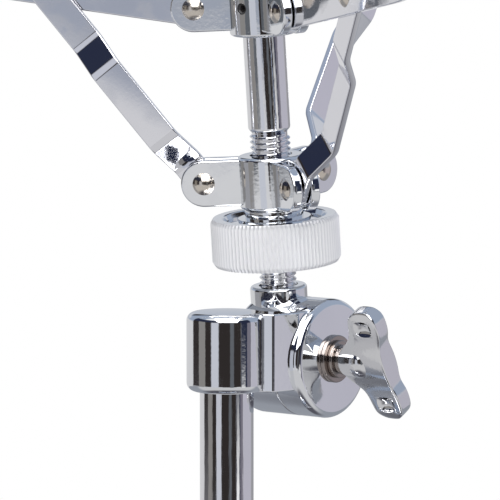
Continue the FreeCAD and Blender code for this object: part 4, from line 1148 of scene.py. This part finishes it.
lobe_low, lobe_high = WING_SECTIONS[2][0] * MM, WING_SECTIONS[3][0] * MM


def on_lobe(face):
    """Whether a face is the flat side of a lobe."""
    centre = face.calc_center_median()
    in_lobe = lobe_low < abs(centre.z) < lobe_high and LOBE_CUTS[0] * MM < centre.x < LOBE_CUTS[1] * MM
    return in_lobe and abs(face.normal.y) > FACING


pick(wing, "FACE", on_lobe)
bpy.ops.mesh.inset(thickness=DIMPLE_LIP * MM, depth=0.0, use_individual=True)
bpy.ops.mesh.inset(thickness=DIMPLE_INSET * MM, depth=-DIMPLE_DEPTH * MM, use_individual=True)
close_up()
soften_edges(wing, WING_EDGE, segments=2, angle=WING_CORNER)
apply_modifier(wing, "SUBSURF", levels=WING_SUBDIVISIONS, render_levels=WING_SUBDIVISIONS)
print(f"cast wing of {len(wing.data.polygons)} faces")

# %% [markdown]
# The wing gets a turned barrel and a shank. The screw of the tilter is turned to the angle that it has
# in the picture. The two small ones, on the tripod's collar and on the height clamp, are the same
# casting, smaller, and each is seated so that it ends where its solid ends.

# %% Wing screws in place
BARREL = ((0, 0.0), (4.6, 0.0), (5.2, 0.6), (6.2, 5.0), (6.2, 11.0), (0, 17.0))
BARREL_ROUND = 1.6
SHANK_OVERLAP, SHORTEST_SHANK = 1, 1.0
WING_TURN, WING_SMOOTH = math.radians(27), 60
WING_GAP, WING_LENGTH = 0.05, 22.7
SHANK_RADIUS, SMALL_SHANK_RADIUS = 4.0, 3.0
SMALL_WING = 0.78
FACING_Y = Matrix.Rotation(math.pi / 2, 4, "Z")


def wing_screw(name, place, size, shank_radius, shank_length):
    """A wing screw whose wing starts at a place and points along its X axis."""
    barrel = turn_profile(f"{name}_barrel", BARREL, MEDIUM_STEPS)
    round_ring(barrel, *BARREL[4], BARREL_ROUND)
    shank = turn_profile(f"{name}_shank", pin(shank_radius, -shank_length, SHANK_OVERLAP), SMALL_STEPS)
    seat(barrel, place @ ALONG_X @ Matrix.Scale(size, 4))
    seat(shank, place @ ALONG_X)
    cast = seat(copy_of(wing, f"{name}_wings"), place @ Matrix.Scale(size, 4), WING_SMOOTH)
    return join([cast, barrel, shank], name)


wing_start = disc_front + len(WASHER_RADII) * WASHER_LENGTH + WING_GAP
place = TILTER @ offset(x=wing_start) @ Matrix.Rotation(WING_TURN, 4, "X")
screw = wing_screw("wing_screw_cast", place, 1.0, SHANK_RADIUS, wing_start + HEAD_BACK)
stand_for(screw, "wing_screw")
for node, joint, turn in (("collar_wing_bolt", "collar_wing_turn", WING_TURN),
                          ("clamp_wing_nut", "clamp_wing_turn", -WING_TURN)):
    low, high = extent(node)
    where = Vector(joints[joint]["pos_m"]) / MM
    start = high.y - SMALL_WING * WING_LENGTH
    place = offset(where.x, start, where.z) @ FACING_Y @ Matrix.Rotation(turn, 4, "X")
    shank_length = max(start - low.y, SHORTEST_SHANK)
    stand_for(wing_screw(f"{node}_cast", place, SMALL_WING, SMALL_SHANK_RADIUS, shank_length), node)
bpy.data.objects.remove(wing)

# %% [markdown]
# ## Arms
# An arm is flat bar standing on edge. One upright edge is drawn, pulled along the straight part, spun
# round the centre of the bend and pulled on to the tip, which makes the side of the bar. Its four
# corners are rounded, and then it gets its thickness and its soft edges.

# %% Basket arms
ARM_DEPTH, ARM_THICKNESS, ARM_EDGE = 13.3, 2.5, 0.5
ARM_STRAIGHT, ARM_TIP, ARM_END_SEGMENTS = 95.0, 30.0, 10
BEND_CENTRE, BEND_TURN, BEND_STEPS = 70.0, math.radians(64.5), 20

half = ARM_DEPTH / 2
arm = start_piece("arm")
draw_chain([(-half, 0, -half), (-half, 0, half)])
select_whole()
pull(half + ARM_STRAIGHT, 0, 0)
bpy.ops.mesh.spin(steps=BEND_STEPS, angle=BEND_TURN, center=(ARM_STRAIGHT * MM, 0, BEND_CENTRE * MM),
                  axis=(0, 1, 0))
tip = ARM_TIP + half
pull(tip * math.cos(BEND_TURN), 0, tip * math.sin(BEND_TURN))
select_whole()
bpy.ops.mesh.remove_doubles(threshold=TOUCH)
pick(arm, "VERT", lambda vertex: len(vertex.link_edges) == 2)
bpy.ops.mesh.bevel(offset=END_ROUND * half * MM, segments=ARM_END_SEGMENTS, affect="VERTICES")
close_up()
thicken(arm, ARM_THICKNESS)
soften_edges(arm, ARM_EDGE, segments=3, angle=STRIP_CORNER)
for index, azimuth in enumerate(SPOKES, start=1):
    stand_for(seat(copy_of(arm, f"arm_{index}_bar"), arm_place(azimuth), STRIP_SMOOTH), f"arm_{index}")
bpy.data.objects.remove(arm)

# %% [markdown]
# ## Tripod and small fittings
# The tripod is outside the picture. Its shapes are those of the solids already, except that every edge
# there is sharp. Each solid is copied, its loose triangles are merged and the flat ones dissolved into
# whole faces, and a bevel softens the edges that remain. The few small fittings of the tilter that are
# hidden inside it are made in the same way.

# %% Softened copies of the solids
FLAT_ANGLE, SOFT_CORNER, SOFT_SMOOTH = 0.6, 40, 35
TRIPLE_EDGES = {"leg": 0.5, "stay": 0.4, "leg_pins": 0.2, "foot": 0.8, "grip": 0.5}
CASTINGS, CASTING_EDGE = ("stay_hub", "leg_collar", "height_clamp", "memory_lock"), 0.6
FITTINGS = ("stay_pins", "tube_plug", "clamp_bolt", "clamp_washer", "clamp_bushing", "memory_screw",
            "socket_pin", "tilter_nut")
FITTING_EDGE = 0.25


def soften(node, edge):
    """A copy of a solid with its edges softened, standing for it."""
    piece = copy_of(nodes[node], f"{node}_soft")
    select_only(piece)
    bpy.ops.object.mode_set(mode="EDIT")
    select_whole()
    bpy.ops.mesh.remove_doubles(threshold=TOUCH)
    bpy.ops.mesh.dissolve_limited(angle_limit=math.radians(FLAT_ANGLE))
    close_up()
    soften_edges(piece, edge, segments=2, angle=SOFT_CORNER)
    stand_for(seat(piece, TUBE, SOFT_SMOOTH), node)


for kind, edge in TRIPLE_EDGES.items():
    for index in (1, 2, 3):
        soften(f"{kind}_{index}", edge)
for node in CASTINGS:
    soften(node, CASTING_EDGE)
for node in FITTINGS:
    soften(node, FITTING_EDGE)

# %% [markdown]
# ## Size
# Every solid has a piece standing for it now. The size of what is shown is printed. A piece that leaves
# its solid's box no longer shows what the stand collides with.

# %% Sizes and finish
low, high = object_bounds()
print(f"visual {[round(value / MM, 1) for value in high - low]} mm")
